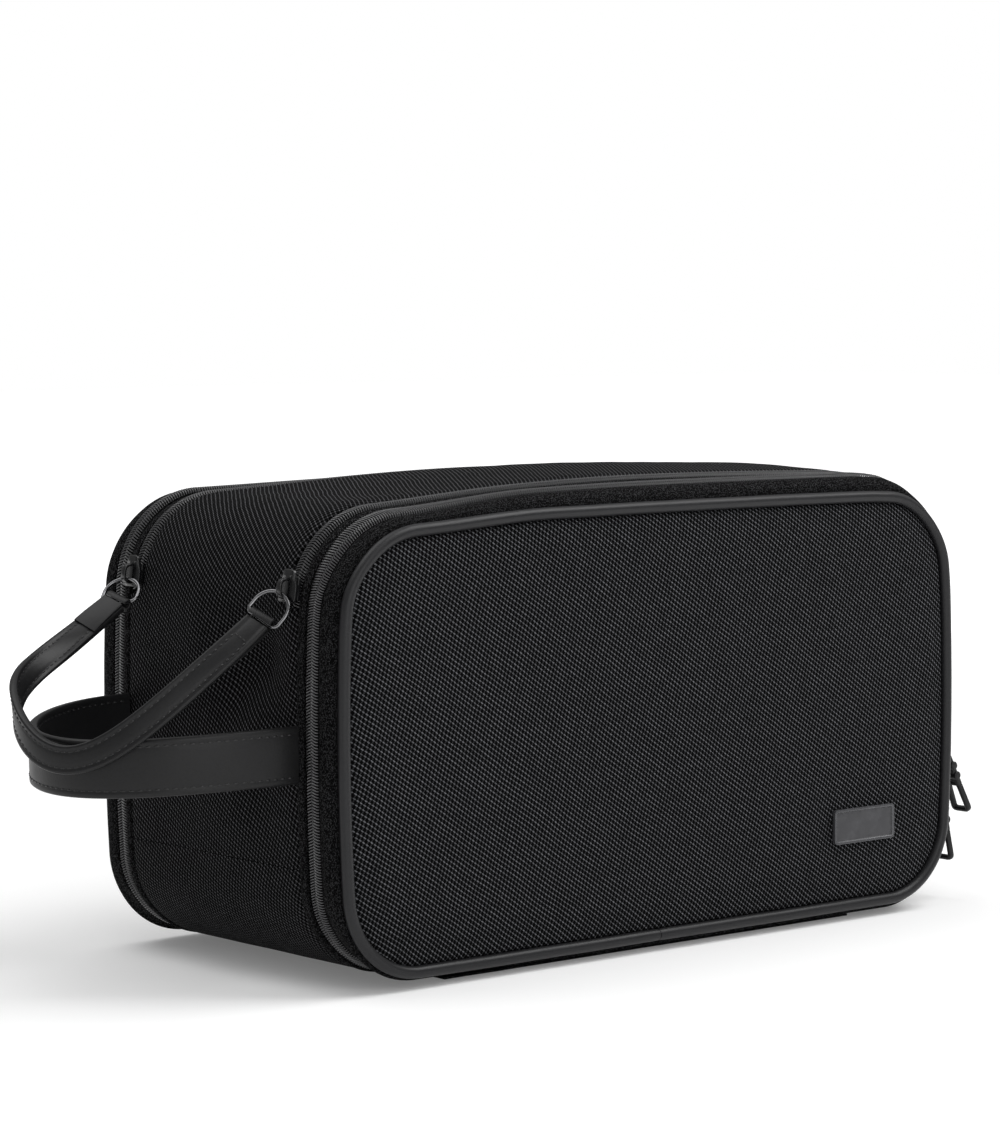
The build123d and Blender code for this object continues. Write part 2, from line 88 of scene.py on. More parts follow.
class Level(Worded):
    """The two sliders of an outer zip; the value is the way its head points."""

    UPPER = -1
    LOWER = 1


class Slot(Enum):
    """The record's material slots."""

    SHELL = "shell_cloth"
    BAND = "band_cloth"
    COIL = "zip_coil"
    METAL = "black_metal"
    STRAP = "strap_skin"
    PIPING = "piping_skin"
    RUBBER = "pull_rubber"
    LINING = "lining"
    PLATE = "plate_metal"


# Outline of the bag


def running(points: Sequence[Sequence[float]]) -> list[float]:
    """The distance along a line of points at each of them, from 0."""
    run = [0.0]
    for a, b in zip(points, points[1:]):
        run.append(run[-1] + math.dist(a, b))
    return run


def spots_along(run: Sequence[float], wanted: Iterable[float]) -> Iterator[tuple[int, float]]:
    """The stretch of a line that holds each wanted distance, and the share of it."""
    at = 0
    for want in wanted:
        while at < len(run) - 2 and run[at + 1] < want:
            at += 1
        yield at, (want - run[at]) / max(run[at + 1] - run[at], 1e-9)


@dataclass(frozen=True)
class Outline:
    """The bag's rounded outline seen from the front, grown or stretched.

    A place on it is a number from 0 to 9: each whole step is one line or arc, from
    the middle of the base to the left, up, over the top and down the right end.
    """

    grow: float = 0.0
    rise: float = 0.0
    drop: float = 0.0
    width: float = 258.8
    height: float = 138.9
    floor_gap: float = 4.6
    corner_radius: float = 27.0
    side_bow: float = 3.2
    top_bow: float = 1.0

    @functools.cached_property
    def corner(self) -> float:
        """Radius of the four corners."""
        return self.corner_radius + self.grow

    @functools.cached_property
    def low(self) -> float:
        """Height of the bottom line."""
        return self.floor_gap - self.grow - self.drop

    @functools.cached_property
    def side_circle(self) -> Triple:
        """Centre and radius of the right end's bowed side."""
        half = self.width / 2 - self.side_bow + self.grow
        top = self.floor_gap + self.height - self.top_bow + self.grow + self.rise
        tall = (top - self.low) / 2
        radius = (tall**2 + self.side_bow**2) / (2 * self.side_bow)
        return half + self.side_bow - radius, (top + self.low) / 2, radius

    @functools.cached_property
    def top_circle(self) -> Triple:
        """Centre and radius of the bowed top."""
        half = self.width / 2 - self.side_bow + self.grow
        top = self.floor_gap + self.height - self.top_bow + self.grow + self.rise
        radius = (half**2 + self.top_bow**2) / (2 * self.top_bow)
        return 0.0, top + self.top_bow - radius, radius

    @functools.cached_property
    def lower_centre(self) -> Pair:
        """Centre of the lower right corner."""
        x, z, radius = self.side_circle
        height = self.low + self.corner
        return x + math.sqrt((radius - self.corner) ** 2 - (height - z) ** 2), height

    @functools.cached_property
    def upper_centre(self) -> Pair:
        """Centre of the upper right corner."""
        x1, z1, r1 = self.side_circle
        x2, z2, r2 = self.top_circle
        r1, r2 = r1 - self.corner, r2 - self.corner
        apart = math.hypot(x2 - x1, z2 - z1)
        along = (r1**2 - r2**2 + apart**2) / (2 * apart)
        off = math.sqrt(r1**2 - along**2)
        ux, uz = (x2 - x1) / apart, (z2 - z1) / apart
        foot_x, foot_z = x1 + along * ux, z1 + along * uz
        return max((foot_x + s * off * uz, foot_z - s * off * ux) for s in (-1, 1))

    @functools.cached_property
    def arcs(self) -> tuple[tuple[float, float, float, float, float], ...]:
        """Right half of the outline as arcs: centre, radius, first and last angle."""
        sx, sz, sr = self.side_circle
        tx, tz, tr = self.top_circle
        ux, uz = self.upper_centre
        lx, lz = self.lower_centre
        meet_top = math.atan2(uz - tz, ux - tx)
        meet_side = math.atan2(uz - sz, ux - sx)
        leave_side = math.atan2(lz - sz, lx - sx)
        return (
            (tx, tz, tr, math.pi - meet_top, meet_top),
            (ux, uz, self.corner, meet_top, meet_side),
            (sx, sz, sr, meet_side, leave_side),
            (lx, lz, self.corner, leave_side, -math.pi / 2),
        )

    def at(self, place: float) -> tuple[Pair, Pair]:
        """Point and outward direction at a place.

        Args:
            place: How far round the outline, from 0 to 9, or beyond for another round.

        Returns:
            The (x, z) point and the (x, z) unit vector that points out.
        """
        place %= 9
        step = min(int(place), 8)
        share = place - step
        if step == 0:
            return (-self.lower_centre[0] * share, self.low), (0.0, -1.0)
        if step == 8:
            return (self.lower_centre[0] * (1 - share), self.low), (0.0, -1.0)
        if step < 4:
            (x, z), (nx, nz) = self.at(9 - place)
            return (-x, z), (-nx, nz)
        cx, cz, radius, first, last = self.arcs[step - 4]
        angle = first + (last - first) * share
        nx, nz = math.cos(angle), math.sin(angle)
        return (cx + radius * nx, cz + radius * nz), (nx, nz)

    def place_at_height(self, height: float, side: int) -> float:
        """The place on the left (-1) or right (1) end at a height."""
        low, high = (0.5, 4.5) if side < 0 else (8.5, 4.5)
        for _ in range(40):
            middle = (low + high) / 2
            if self.at(middle)[0][1] < height:
                low = middle
            else:
                high = middle
        return (low + high) / 2

    def places(self, first: float, last: float, pitch: float) -> list[float]:
        """Places from first to last that stand about a pitch apart along the line."""
        fine = [first + (last - first) * i / 900 for i in range(901)]
        run = running([self.at(place)[0] for place in fine])
        count = max(2, round(run[-1] / pitch))
        wanted = (run[-1] * i / count for i in range(count + 1))
        found = spots_along(run, wanted)
        return [fine[at] + (fine[at + 1] - fine[at]) * share for at, share in found]

    def spokes(self, share: float, core: Pair) -> list[Pair]:
        """Points on the line shrunk by a share towards a level core line.

        Top and base get as many points, so that at a share of 1 they meet in pairs.

        Args:
            share: How far in, from 0 on the line to 1 on the core.
            core: Half length of the core line and its height.

        Returns:
            The (x, z) points, once round from the middle of the base.
        """
        half, corner, side = 42, 18, 40
        counts = (half, corner, side, corner, 2 * half, corner, side, corner, half)
        places = [step + i / count for step, count in enumerate(counts) for i in range(count)]
        top_middle = 2 * half + 2 * corner + side
        points = []
        for i, place in enumerate(places):
            (x, z), _ = self.at(place)
            partner = (top_middle - i) % len(places)
            (other, _), _ = self.at(places[partner])
            core_x = max(-core[0], min(core[0], (x + other) / 2))
            points.append((x + (core_x - x) * share, z + (core[1] - z) * share))
        return points


CLOTH_LINE = Outline(4.4, 1.1, 0.2, top_bow=3.2)
GUSSET_LINE = replace(CLOTH_LINE, rise=-0.2)
OUTER_ZIP_LINE = Outline(4.2, 0.5)
OUTER_ZIP_Y = 50.8
OUTER_ZIP_END = 87.2
MAIN_ZIP_Y = 41.2
CLOTH_WALL = 2.4
THREAD_GIRTH = 0.24


# Drafting meshes


def ease(low: float, high: float, value: float) -> float:
    """A soft step from 0 at low to 1 at high."""
    share = min(1.0, max(0.0, (value - low) / (high - low)))
    return share * share * (3 - 2 * share)


@dataclass(frozen=True)
class Slump:
    """How far the stuffed bag sags and swells out of its tidy shape."""

    swell: float = 1.0
    crown_swell: float = 1.9
    gusset_swell: float = 0.9
    face_sag: float = 1.5
    chain_pinch: float = 1.3
    band_pinch: float = 3.0
    piping_ease: float = 1.6
    right_pinch: float = 1.5
    foot_lift: float = 3.2

    def at(self, point: Vector) -> Vector:
        """Where the stuffed bag holds a point of its tidy shape.

        The top swells between the zips, more towards the right, and the padded faces
        hang a little low.  The front's upper corners are rounder, and the base lifts
        off the floor towards the left end.
        """
        x, z, depth = point.x, point.z, abs(point.y)
        face = ease(55, 60.5, depth)
        crown = self.crown_swell * (1 - ease(0, 44, depth))
        gusset = self.gusset_swell * (1 - ease(41, 55, depth))
        span = ease(-115, 5, x) * (1 - ease(92, 128, x)) * (1 - face)
        rise = ease(100, 138, z) * ((self.swell + crown + gusset) * span - self.face_sag * face)
        foot = self.foot_lift * (1 - ease(3, 46, z)) * (1 - ease(57, 61, depth))
        rise += foot * ease(30, 100, -x)
        pinch = self.chain_pinch * ease(30, 42, depth) + self.band_pinch * ease(45, 52, depth)
        pinch -= self.piping_ease * ease(58.5, 61.5, depth)
        left = pinch * ease(45, 112, -x) * ease(108, 138, z) * (point.y < 0)
        right = self.right_pinch * ease(88, 126, x) * ease(105, 138, z)
        shift = Vector((0.35 * left - 0.6 * right, 0, rise - 0.94 * left - 0.8 * right))
        return point + shift


class Draft:
    """A mesh in the making, with the flat coordinates of each face's corners."""

    def __init__(self) -> None:
        """Start with nothing drawn."""
        self.points: list[Vector] = []
        self.faces: list[tuple[int, ...]] = []
        self.flat: list[list[Pair]] = []

    def net(
        self,
        rows: Sequence[Sequence[Vector]],
        along: Sequence[float],
        across: Sequence[float],
        loop: bool = False,
    ) -> None:
        """Lay a net of quads over closed rows of points, with its open ends capped.

        Args:
            rows: Rows of points in millimetres, all of one length.
            along: The flat coordinate of each row, one more than the rows if they loop.
            across: The flat coordinate of each column, one more than the columns.
            loop: Whether the last row joins the first.
        """
        base, wide, tall = len(self.points), len(rows[0]), len(rows)
        for row in rows:
            self.points.extend(row)
        for i in range(tall if loop else tall - 1):
            here, ahead = base + i * wide, base + (i + 1) % tall * wide
            for j in range(wide):
                k = (j + 1) % wide
                self.faces.append((here + j, ahead + j, ahead + k, here + k))
                ends = ((i, j), (i + 1, j), (i + 1, j + 1), (i, j + 1))
                self.flat.append([(along[a], across[b]) for a, b in ends])
        if not loop:
            for i in (0, tall - 1):
                self.faces.append(tuple(base + i * wide + j for j in range(wide)))
                self.flat.append([(along[i], across[j]) for j in range(wide)])

    def tube(self, path: Sequence[Matrix], section: Sequence[Pair], loop: bool = False) -> None:
        """Sweep a closed section along a path.

        Args:
            path: Places along the path, in millimetres; the section lies in their XY.
            section: The section's corners, in millimetres.
            loop: Whether the path closes on itself.
        """
        rows = [[m @ Vector((x, y, 0)) for x, y in section] for m in path]
        run = running([m.translation for m in (*path, path[0])])
        self.net(rows, run, running([*section, section[0]]), loop)

    def build(self, name: str, smooth: float = 40.0, soft: bool = False) -> bpy.types.Object:
        """Make the object, with faces outward and its flat coordinates in metres.

        Args:
            name: The piece's name.
            smooth: Edges sharper than this angle in degrees stay crisp.
            soft: Whether the piece takes the stuffed bag's slightly slumped shape.

        Returns:
            The new object, at the origin.
        """
        mesh = bpy.data.meshes.new(name)
        held = [Slump().at(p) if soft else p for p in self.points]
        mesh.from_pydata([p * MM for p in held], [], self.faces)
        layer = mesh.uv_layers.new(name="flat")
        corners = [value * MM for face in self.flat for pair in face for value in pair]
        layer.data.foreach_set("uv", corners)
        made = bpy.data.objects.new(name, mesh)
        bpy.context.scene.collection.objects.link(made)
        work = bmesh.new()
        work.from_mesh(mesh)
        bmesh.ops.recalc_face_normals(work, faces=work.faces)
        work.to_mesh(mesh)
        work.free()
        smooth_by_angle(made, smooth)
        return made


def only(obj: bpy.types.Object) -> None:
    """Make an object the only selected one and the active one."""
    if bpy.context.object and bpy.context.object.mode != "OBJECT":
        bpy.ops.object.mode_set(mode="OBJECT")
    bpy.ops.object.select_all(action="DESELECT")
    obj.select_set(True)
    bpy.context.view_layer.objects.active = obj


def smooth_by_angle(obj: bpy.types.Object, angle: float) -> None:
    """Shade an object smooth, with edges above an angle in degrees left crisp."""
    only(obj)
    bpy.ops.object.shade_smooth_by_angle(angle=math.radians(angle))


def apply(obj: bpy.types.Object, kind: str, **settings: object) -> None:
    """Add a modifier and apply it."""
    only(obj)
    modifier = obj.modifiers.new(kind.lower(), kind)
    for key, value in settings.items():
        setattr(modifier, key, value)
    bpy.ops.object.modifier_apply(modifier=modifier.name)


def soften(obj: bpy.types.Object, width: float, segments: int, angle: float) -> None:
    """Round the edges that are sharper than an angle in degrees."""
    limit = {"limit_method": "ANGLE", "angle_limit": math.radians(angle)}
    apply(obj, "BEVEL", width=width, segments=segments, **limit)


def place_mesh(obj: bpy.types.Object, place: Matrix) -> bpy.types.Object:
    """Move a mesh drawn round the origin in millimetres to its place in metres."""
    obj.data.transform(Matrix.Scale(MM, 4) @ place)
    obj.data.update()
    return obj


def join(name: str, parts: Sequence[bpy.types.Object]) -> bpy.types.Object:
    """Join several meshes into one piece with a new name."""
    only(parts[0])
    for part in parts:
        part.select_set(True)
    bpy.ops.object.join()
    joined = bpy.context.object
    joined.name = joined.data.name = name
    return joined


def box(size: Triple, centre: Triple) -> bpy.types.Object:
    """A box added at its size and place, with its scale applied."""
    bpy.ops.object.select_all(action="DESELECT")
    bpy.ops.mesh.primitive_cube_add(size=1, location=centre)
    made = bpy.context.object
    made.scale = size
    bpy.ops.object.transform_apply(location=True, rotation=True, scale=True)
    return made


def pick(obj: bpy.types.Object, kind: str, test: Callable[[Vector], bool]) -> None:
    """Go into edit mode with only some faces, edges or points selected.

    Args:
        obj: The object to edit.
        kind: FACE, EDGE or VERT.
        test: Told the middle of each, and says whether to select it.
    """
    only(obj)
    bpy.ops.object.mode_set(mode="EDIT")
    bpy.ops.mesh.select_mode(type=kind)
    bpy.ops.mesh.select_all(action="DESELECT")
    work = bmesh.from_edit_mesh(obj.data)
    if kind == "FACE":
        for face in work.faces:
            face.select = test(face.calc_center_median())
    elif kind == "EDGE":
        for edge in work.edges:
            edge.select = test((edge.verts[0].co + edge.verts[1].co) / 2)
    else:
        for vert in work.verts:
            vert.select = test(vert.co)
    work.select_flush_mode()
    bmesh.update_edit_mesh(obj.data)


def leave_edit() -> None:
    """Go back to object mode."""
    bpy.ops.object.mode_set(mode="OBJECT")


def axes(origin: Vector, x: Vector, z: Vector) -> Matrix:
    """A place with its origin and its X and Z directions given."""
    x, z = x.normalized(), z.normalized()
    y = z.cross(x)
    turned = Matrix((x, y, z)).transposed().to_4x4()
    return Matrix.Translation(origin) @ turned


def round_section(width: float, height: float, radius: float, steps: int = 4) -> list[Pair]:
    """Corners of a rounded rectangle, counter-clockwise about the middle."""
    points = []
    for cx, cy, start in ((1, 1, 0), (-1, 1, 90), (-1, -1, 180), (1, -1, 270)):
        for i in range(steps + 1):
            angle = math.radians(start + 90 * i / steps)
            x = cx * (width / 2 - radius) + radius * math.cos(angle)
            points.append((x, cy * (height / 2 - radius) + radius * math.sin(angle)))
    return points


def circle_section(radius: float, steps: int) -> list[Pair]:
    """Corners of a round section."""
    turns = [math.tau * i / steps for i in range(steps)]
    return [(radius * math.cos(t), radius * math.sin(t)) for t in turns]


def skin_section(half: float, thick: float, profile: Iterable[Pair]) -> list[Pair]:
    """Section of a stitched band, the same on both faces and at both edges.

    Args:
        half: Half the band's width.
        thick: Half its thickness.
        profile: Distances in from the edge, with the share of the thickness there.

    Returns:
        The section's corners.
    """
    upper = [(half - inset, thick * share) for inset, share in profile]
    across = upper + [(-x, y) for x, y in reversed(upper)]
    return across[:-1] + [(x, -y) for x, y in reversed(across)][:-1]


def bar_path(line: Sequence[Vector], wide: Vector, loop: bool = False) -> list[Matrix]:
    """Places along a bent bar, with the section's X along one direction."""
    path = []
    for i, spot in enumerate(line):
        before = line[i - 1] if loop or i else spot
        after = line[(i + 1) % len(line)] if loop or i < len(line) - 1 else spot
        path.append(axes(spot, wide, after - before))
    return path


def ripple(point: Vector, pitch: float, seed: float) -> float:
    """Smooth noise from about -1 to 1 with hills a pitch apart, in millimetres."""
    return noise.noise(point / pitch + Vector((seed, seed * 0.7, -seed)))


def hill(point: Vector, centre: Triple, reach: Triple) -> float:
    """A smooth hill from 1 at its centre to 0, with its reach along each axis."""
    off = sum(((p - c) / r) ** 2 for p, c, r in zip(point, centre, reach))
    return math.exp(-off)


# Laying out materials

Value = float | tuple[float, ...] | bpy.types.NodeSocket


class Board:
    """A node tree being laid out, with short calls to add and join nodes."""

    def __init__(self, tree: bpy.types.NodeTree) -> None:
        """Work on a tree."""
        self.tree = tree

    def add(self, kind: str, **settings: object) -> bpy.types.Node:
        """Add a node of a kind and set it up."""
        node = self.tree.nodes.new("ShaderNode" + kind)
        for key, value in settings.items():
            setattr(node, key, value)
        return node

    def feed(self, socket: bpy.types.NodeSocket, value: Value) -> None:
        """Set a socket to a number or colour, or join an output to it."""
        if isinstance(value, bpy.types.NodeSocket):
            self.tree.links.new(value, socket)
        else:
            socket.default_value = value

    def maths(self, operation: str, *values: Value) -> bpy.types.NodeSocket:
        """The result of one sum."""
        node = self.add("Math", operation=operation)
        for socket, value in zip(node.inputs, values):
            self.feed(socket, value)
        return node.outputs[0]

    def times(self, first: Value, second: Value) -> bpy.types.NodeSocket:
        """The product of two values."""
        return self.maths("MULTIPLY", first, second)

    def plus(self, first: Value, second: Value) -> bpy.types.NodeSocket:
        """The sum of two values."""
        return self.maths("ADD", first, second)

    def vector(self, operation: str, *values: Value) -> bpy.types.NodeSocket:
        """The result of one vector sum; a dot product comes out as a value."""
        node = self.add("VectorMath", operation=operation)
        for socket, value in zip(node.inputs, values):
            self.feed(socket, value)
        return node.outputs["Value" if operation in ("DOT_PRODUCT", "LENGTH") else "Vector"]

    def spread(
        self,
        value: Value,
        low: float,
        high: float,
        to_low: float = 0.0,
        to_high: float = 1.0,
        smooth: bool = True,
    ) -> bpy.types.NodeSocket:
        """Carry a value from one range to another, and stop at its ends."""
        node = self.add("MapRange", interpolation_type="SMOOTHSTEP" if smooth else "LINEAR")
        for socket, number in zip(node.inputs, (value, low, high, to_low, to_high)):
            self.feed(socket, number)
        return node.outputs[0]

    def blend(self, share: Value, first: Value, second: Value) -> bpy.types.NodeSocket:
        """Mix two colours."""
        node = self.add("Mix", data_type="RGBA")
        for number, value in ((0, share), (6, first), (7, second)):
            self.feed(node.inputs[number], value)
        return node.outputs[2]

    def cloud(self, where: Value, scale: Value, detail: float = 2.0) -> bpy.types.NodeSocket:
        """Noise from 0 to 1 at a scale per metre."""
        node = self.add("TexNoise", noise_dimensions="3D")
        self.feed(node.inputs["Vector"], where)
        self.feed(node.inputs["Scale"], scale)
        self.feed(node.inputs["Detail"], detail)
        return node.outputs[0]

    def space(self) -> bpy.types.NodeSocket:
        """The piece's own coordinates, in metres."""
        return self.add("TexCoord").outputs["Object"]

    def place(self, group: bpy.types.NodeTree, **values: Value) -> bpy.types.Node:
        """Place a group with its own values; a name's _ stands for a space."""
        node = self.add("Group", node_tree=group)
        for key, value in values.items():
            self.feed(node.inputs[key.replace("_", " ")], value)
        return node


def new_group(
    name: str, inputs: Iterable[tuple[str, str, Value]], outputs: Iterable[str]
) -> tuple[bpy.types.NodeTree, Board, dict[str, bpy.types.NodeSocket], bpy.types.Node]:
    """Start a shader node group.

    Args:
        name: The group's name.
        inputs: Name, kind (Float, Vector or Color) and value of each input.
        outputs: Names of the outputs, which are all values.

    Returns:
        The group, its board, its inputs by name and its output node.
    """
    tree = bpy.data.node_groups.new(name, "ShaderNodeTree")
    for label, kind, value in inputs:
        socket = tree.interface.new_socket(label, in_out="INPUT", socket_type="NodeSocket" + kind)
        if kind != "Vector":
            socket.default_value = value
    for label in outputs:
        tree.interface.new_socket(label, in_out="OUTPUT", socket_type="NodeSocketFloat")
    board = Board(tree)
    start = tree.nodes.new("NodeGroupInput")
    return tree, board, dict(start.outputs.items()), tree.nodes.new("NodeGroupOutput")


@functools.cache
def weave_group() -> bpy.types.NodeTree:
    """Coarse ballistic weave: oval thread floats on a slanting lattice."""
    inputs = [
        ("Flat", "Vector", 0),
        ("Pitch", "Float", 1.0),
        ("Length", "Float", 0.7),
        ("Width", "Float", 0.3),
        ("Wander", "Float", 0.25),
    ]
    outputs = ["Height", "Float Mask", "Cross Mask", "Thread Tone"]
    tree, board, given, out = new_group("ballistic_weave", inputs, outputs)
    sized = board.vector("SCALE", given["Flat"])
    board.feed(sized.node.inputs["Scale"], board.maths("DIVIDE", 1000.0, given["Pitch"]))
    drift = board.cloud(sized, 0.06).node.outputs["Color"]
    wander = board.vector("SCALE", board.vector("SUBTRACT", drift, (0.5, 0.5, 0.5)))
    board.feed(wander.node.inputs["Scale"], board.times(given["Wander"], 4.0))
    where = board.vector("ADD", sized, wander)
    p = board.vector("DOT_PRODUCT", where, (0.41, 0.61, 0.0))
    q = board.vector("DOT_PRODUCT", where, (0.30, -0.82, 0.0))

    def turned(x: Value, y: Value, c: float, s: float) -> bpy.types.NodeSocket:
        """A weighted sum of two values."""
        return board.plus(board.times(x, c), board.times(y, s))

    def floats(shift: float, angle: float, longer: float) -> list[bpy.types.NodeSocket]:
        """One family of thread floats: its mask and a random tone for each float."""
        cells = [board.plus(share, shift) for share in (p, q)]
        whole = [board.maths("ROUND", cell) for cell in cells]
        dp, dq = (board.maths("SUBTRACT", cell, near) for cell, near in zip(cells, whole))
        dx, dy = turned(dp, dq, 1.58, 1.175), turned(dp, dq, 0.578, -0.79)
        c, s = math.cos(math.radians(angle)), math.sin(math.radians(angle))
        length = board.times(given["Length"], longer)
        along = board.maths("DIVIDE", turned(dx, dy, c, s), length)
        across = board.maths("DIVIDE", turned(dx, dy, -s, c), given["Width"])
        off = board.plus(*(board.maths("POWER", part, 2.0) for part in (along, across)))
        seed = board.add("CombineXYZ")
        for number, cell in enumerate(whole):
            board.feed(seed.inputs[number], cell)
        chance = board.add("TexWhiteNoise")
        board.feed(chance.inputs["Vector"], seed.outputs[0])
        return [board.spread(off, 0.05, 1.15, 1.0, 0.0), chance.outputs["Value"]]

    main, tone = floats(0.0, -36.0, 1.0)
    cross, _ = floats(0.5, 62.0, 0.8)
    top = board.maths("MAXIMUM", main, board.times(cross, 0.45))
    for label, socket in zip(outputs, (top, main, cross, tone)):
        board.feed(out.inputs[label], socket)
    return tree


@functools.cache
def tone_group() -> bpy.types.NodeTree:
    """Slow variation of tone over a surface, with a little pale lint."""
    inputs = [("Where", "Vector", 0), ("Size", "Float", 12.0), ("Amount", "Float", 0.15)]
    tree, board, given, out = new_group("slow_tone", inputs, ["Tone", "Lint"])
    centred = board.maths("SUBTRACT", board.cloud(given["Where"], given["Size"]), 0.5)
    board.feed(out.inputs["Tone"], board.maths("MULTIPLY_ADD", centred, given["Amount"], 1.0))
    lint = board.cloud(given["Where"], 900.0)
    board.feed(out.inputs["Lint"], board.spread(lint, 0.74, 0.8))
    return tree


@functools.cache
def grain_group() -> bpy.types.NodeTree:
    """Fine pebbled grain of coated skin or moulded rubber."""
    inputs = [("Where", "Vector", 0), ("Size", "Float", 1500.0)]
    tree, board, given, out = new_group("fine_grain", inputs, ["Height", "Pores"])
    cells = board.add("TexVoronoi", feature="SMOOTH_F1")
    board.feed(cells.inputs["Vector"], given["Where"])
    board.feed(cells.inputs["Scale"], given["Size"])
    fine = board.cloud(given["Where"], board.times(given["Size"], 2.2))
    far = cells.outputs["Distance"]
    board.feed(out.inputs["Height"], board.plus(far, board.times(fine, 0.5)))
    board.feed(out.inputs["Pores"], board.spread(far, 0.1, 0.5))
    return tree


@dataclass(frozen=True)
class Finish:
    """What every finish has: a name and the constants of its shader."""

    name: str
    base: Triple
    roughness: float = 0.6
    specular: float = 0.25
    coat: float = 0.0
    metallic: float = 0.0

    def start(self) -> tuple[bpy.types.Material, Board, bpy.types.Node]:
        """A new material with the constants on its shader, its board and its shader."""
        made = bpy.data.materials.new(self.name)
        made.use_nodes = True
        shader = made.node_tree.nodes["Principled BSDF"]
        constants = {
            "Base Color": self.shade(1.0),
            "Roughness": self.roughness,
            "Specular IOR Level": self.specular,
            "Coat Weight": self.coat,
            "Coat Roughness": 0.12,
            "Metallic": self.metallic,
        }
        for socket, value in constants.items():
            shader.inputs[socket].default_value = value
        made.diffuse_color = (*self.base, 1)
        return made, Board(made.node_tree), shader

    def shade(self, share: float) -> tuple[float, float, float, float]:
        """The base colour made darker or paler by a share."""
        return (*(min(1.0, c * share) for c in self.base), 1)

    def emboss(self, board: Board, shader: bpy.types.Node, height: Value, depth: float) -> None:
        """Join a height, in shares of a depth in millimetres, to the shader's normal."""
        bump = board.add("Bump")
        board.feed(bump.inputs["Strength"], 1.0)
        board.feed(bump.inputs["Distance"], depth * MM)
        board.feed(bump.inputs["Height"], height)
        board.feed(shader.inputs["Normal"], bump.outputs[0])


@dataclass(frozen=True)
class WovenCloth(Finish):
    """Coarse ballistic cloth, read along its own flat coordinates, with painted highlights on its thread
    floats and painted shade between them.
    """

    pitch: float = 1.0
    contrast: float = 1.0
    relief: float = 0.28

    @functools.cache
    def material(self) -> bpy.types.Material:
        """The cloth's material."""
        made, board, shader = self.start()
        flat = board.add("UVMap", uv_map="flat").outputs[0]
        weave = board.place(weave_group(), Flat=flat, Pitch=self.pitch).outputs
        tone = board.place(tone_group(), Where=board.space()).outputs
        # Painted highlight: the main thread floats are much paler than the cloth. Painted shade: the cross
        # floats are half dark and the gaps near black.
        float_tone = board.spread(weave["Thread Tone"], 0.0, 1.0, 0.6, 1.15, smooth=False)
        lit = board.times(weave["Float Mask"], board.times(float_tone, tone["Tone"]))
        ground = board.blend(weave["Cross Mask"], self.shade(0.06), self.shade(0.55))
        colour = board.blend(lit, ground, self.shade(1.0 + 2.6 * self.contrast))
        linty = board.blend(board.times(tone["Lint"], 0.25), colour, self.shade(4.0))
        height = weave["Height"]
        rough = board.spread(height, 0.0, 1.0, 0.85, self.roughness)
        shine = board.spread(height, 0.1, 0.9, 0.02, self.specular)
        board.feed(shader.inputs["Base Color"], linty)
        board.feed(shader.inputs["Roughness"], rough)
        board.feed(shader.inputs["Specular IOR Level"], shine)
        self.emboss(board, shader, height, self.relief)
        return made


@dataclass(frozen=True)
class BindingCloth(Finish):
    """Close woven binding and tape: near black, with pale flecks painted on as highlights on the raised tops
    of its threads.
    """

    flecks: float = 1900.0

    @functools.cache
    def material(self) -> bpy.types.Material:
        """The binding's material."""
        made, board, shader = self.start()
        flat = board.add("UVMap", uv_map="flat").outputs[0]
        slant = board.add("Mapping")
        board.feed(slant.inputs["Vector"], flat)
        slant.inputs["Rotation"].default_value = (0.0, 0.0, math.radians(38.0))
        slant.inputs["Scale"].default_value = (1.0, 1.7, 1.0)
        cells = board.add("TexVoronoi")
        board.feed(cells.inputs["Vector"], slant.outputs[0])
        board.feed(cells.inputs["Scale"], self.flecks)
        height = board.spread(cells.outputs["Distance"], 0.1, 0.62, 1.0, 0.0)
        tone = board.place(tone_group(), Where=board.space()).outputs["Tone"]
        chance = board.add("SeparateColor")
        board.feed(chance.inputs[0], cells.outputs["Color"])
        fleck = board.spread(chance.outputs[0], 0.0, 1.0, 0.25, 1.0, smooth=False)
        # Painted highlight: the flecks are palest where the weave's bumps stand highest, and painted shade
        # darkens the hollows between them.
        lit = board.times(board.times(height, fleck), tone)
        colour = board.blend(lit, self.shade(0.12), self.shade(3.0))
        shine = board.spread(height, 0.1, 0.9, 0.02, self.specular)
        board.feed(shader.inputs["Base Color"], colour)
        board.feed(shader.inputs["Specular IOR Level"], shine)
        self.emboss(board, shader, height, 0.14)
        return made


@dataclass(frozen=True)
class Skin(Finish):
    """Satin coated skin, or moulded rubber, with a fine grain."""

    grain: float = 1500.0
    relief: float = 0.02

    @functools.cache
    def material(self) -> bpy.types.Material:
        """The skin's material."""
        made, board, shader = self.start()
        space = board.space()
        grain = board.place(grain_group(), Where=space, Size=self.grain).outputs
        tone = board.place(tone_group(), Where=space, Size=30.0, Amount=0.35).outputs["Tone"]
        worn = board.spread(board.cloud(space, 70.0, 4.0), 0.45, 0.75)
        shaded = board.blend(grain["Pores"], self.shade(0.85), self.shade(1.08))
        colour = board.blend(board.times(worn, 0.3), shaded, self.shade(1.35))
        rough = board.plus(board.times(tone, self.roughness), board.times(worn, 0.06))
        board.feed(shader.inputs["Base Color"], colour)
        board.feed(shader.inputs["Roughness"], rough)
        self.emboss(board, shader, grain["Height"], self.relief)
        return made


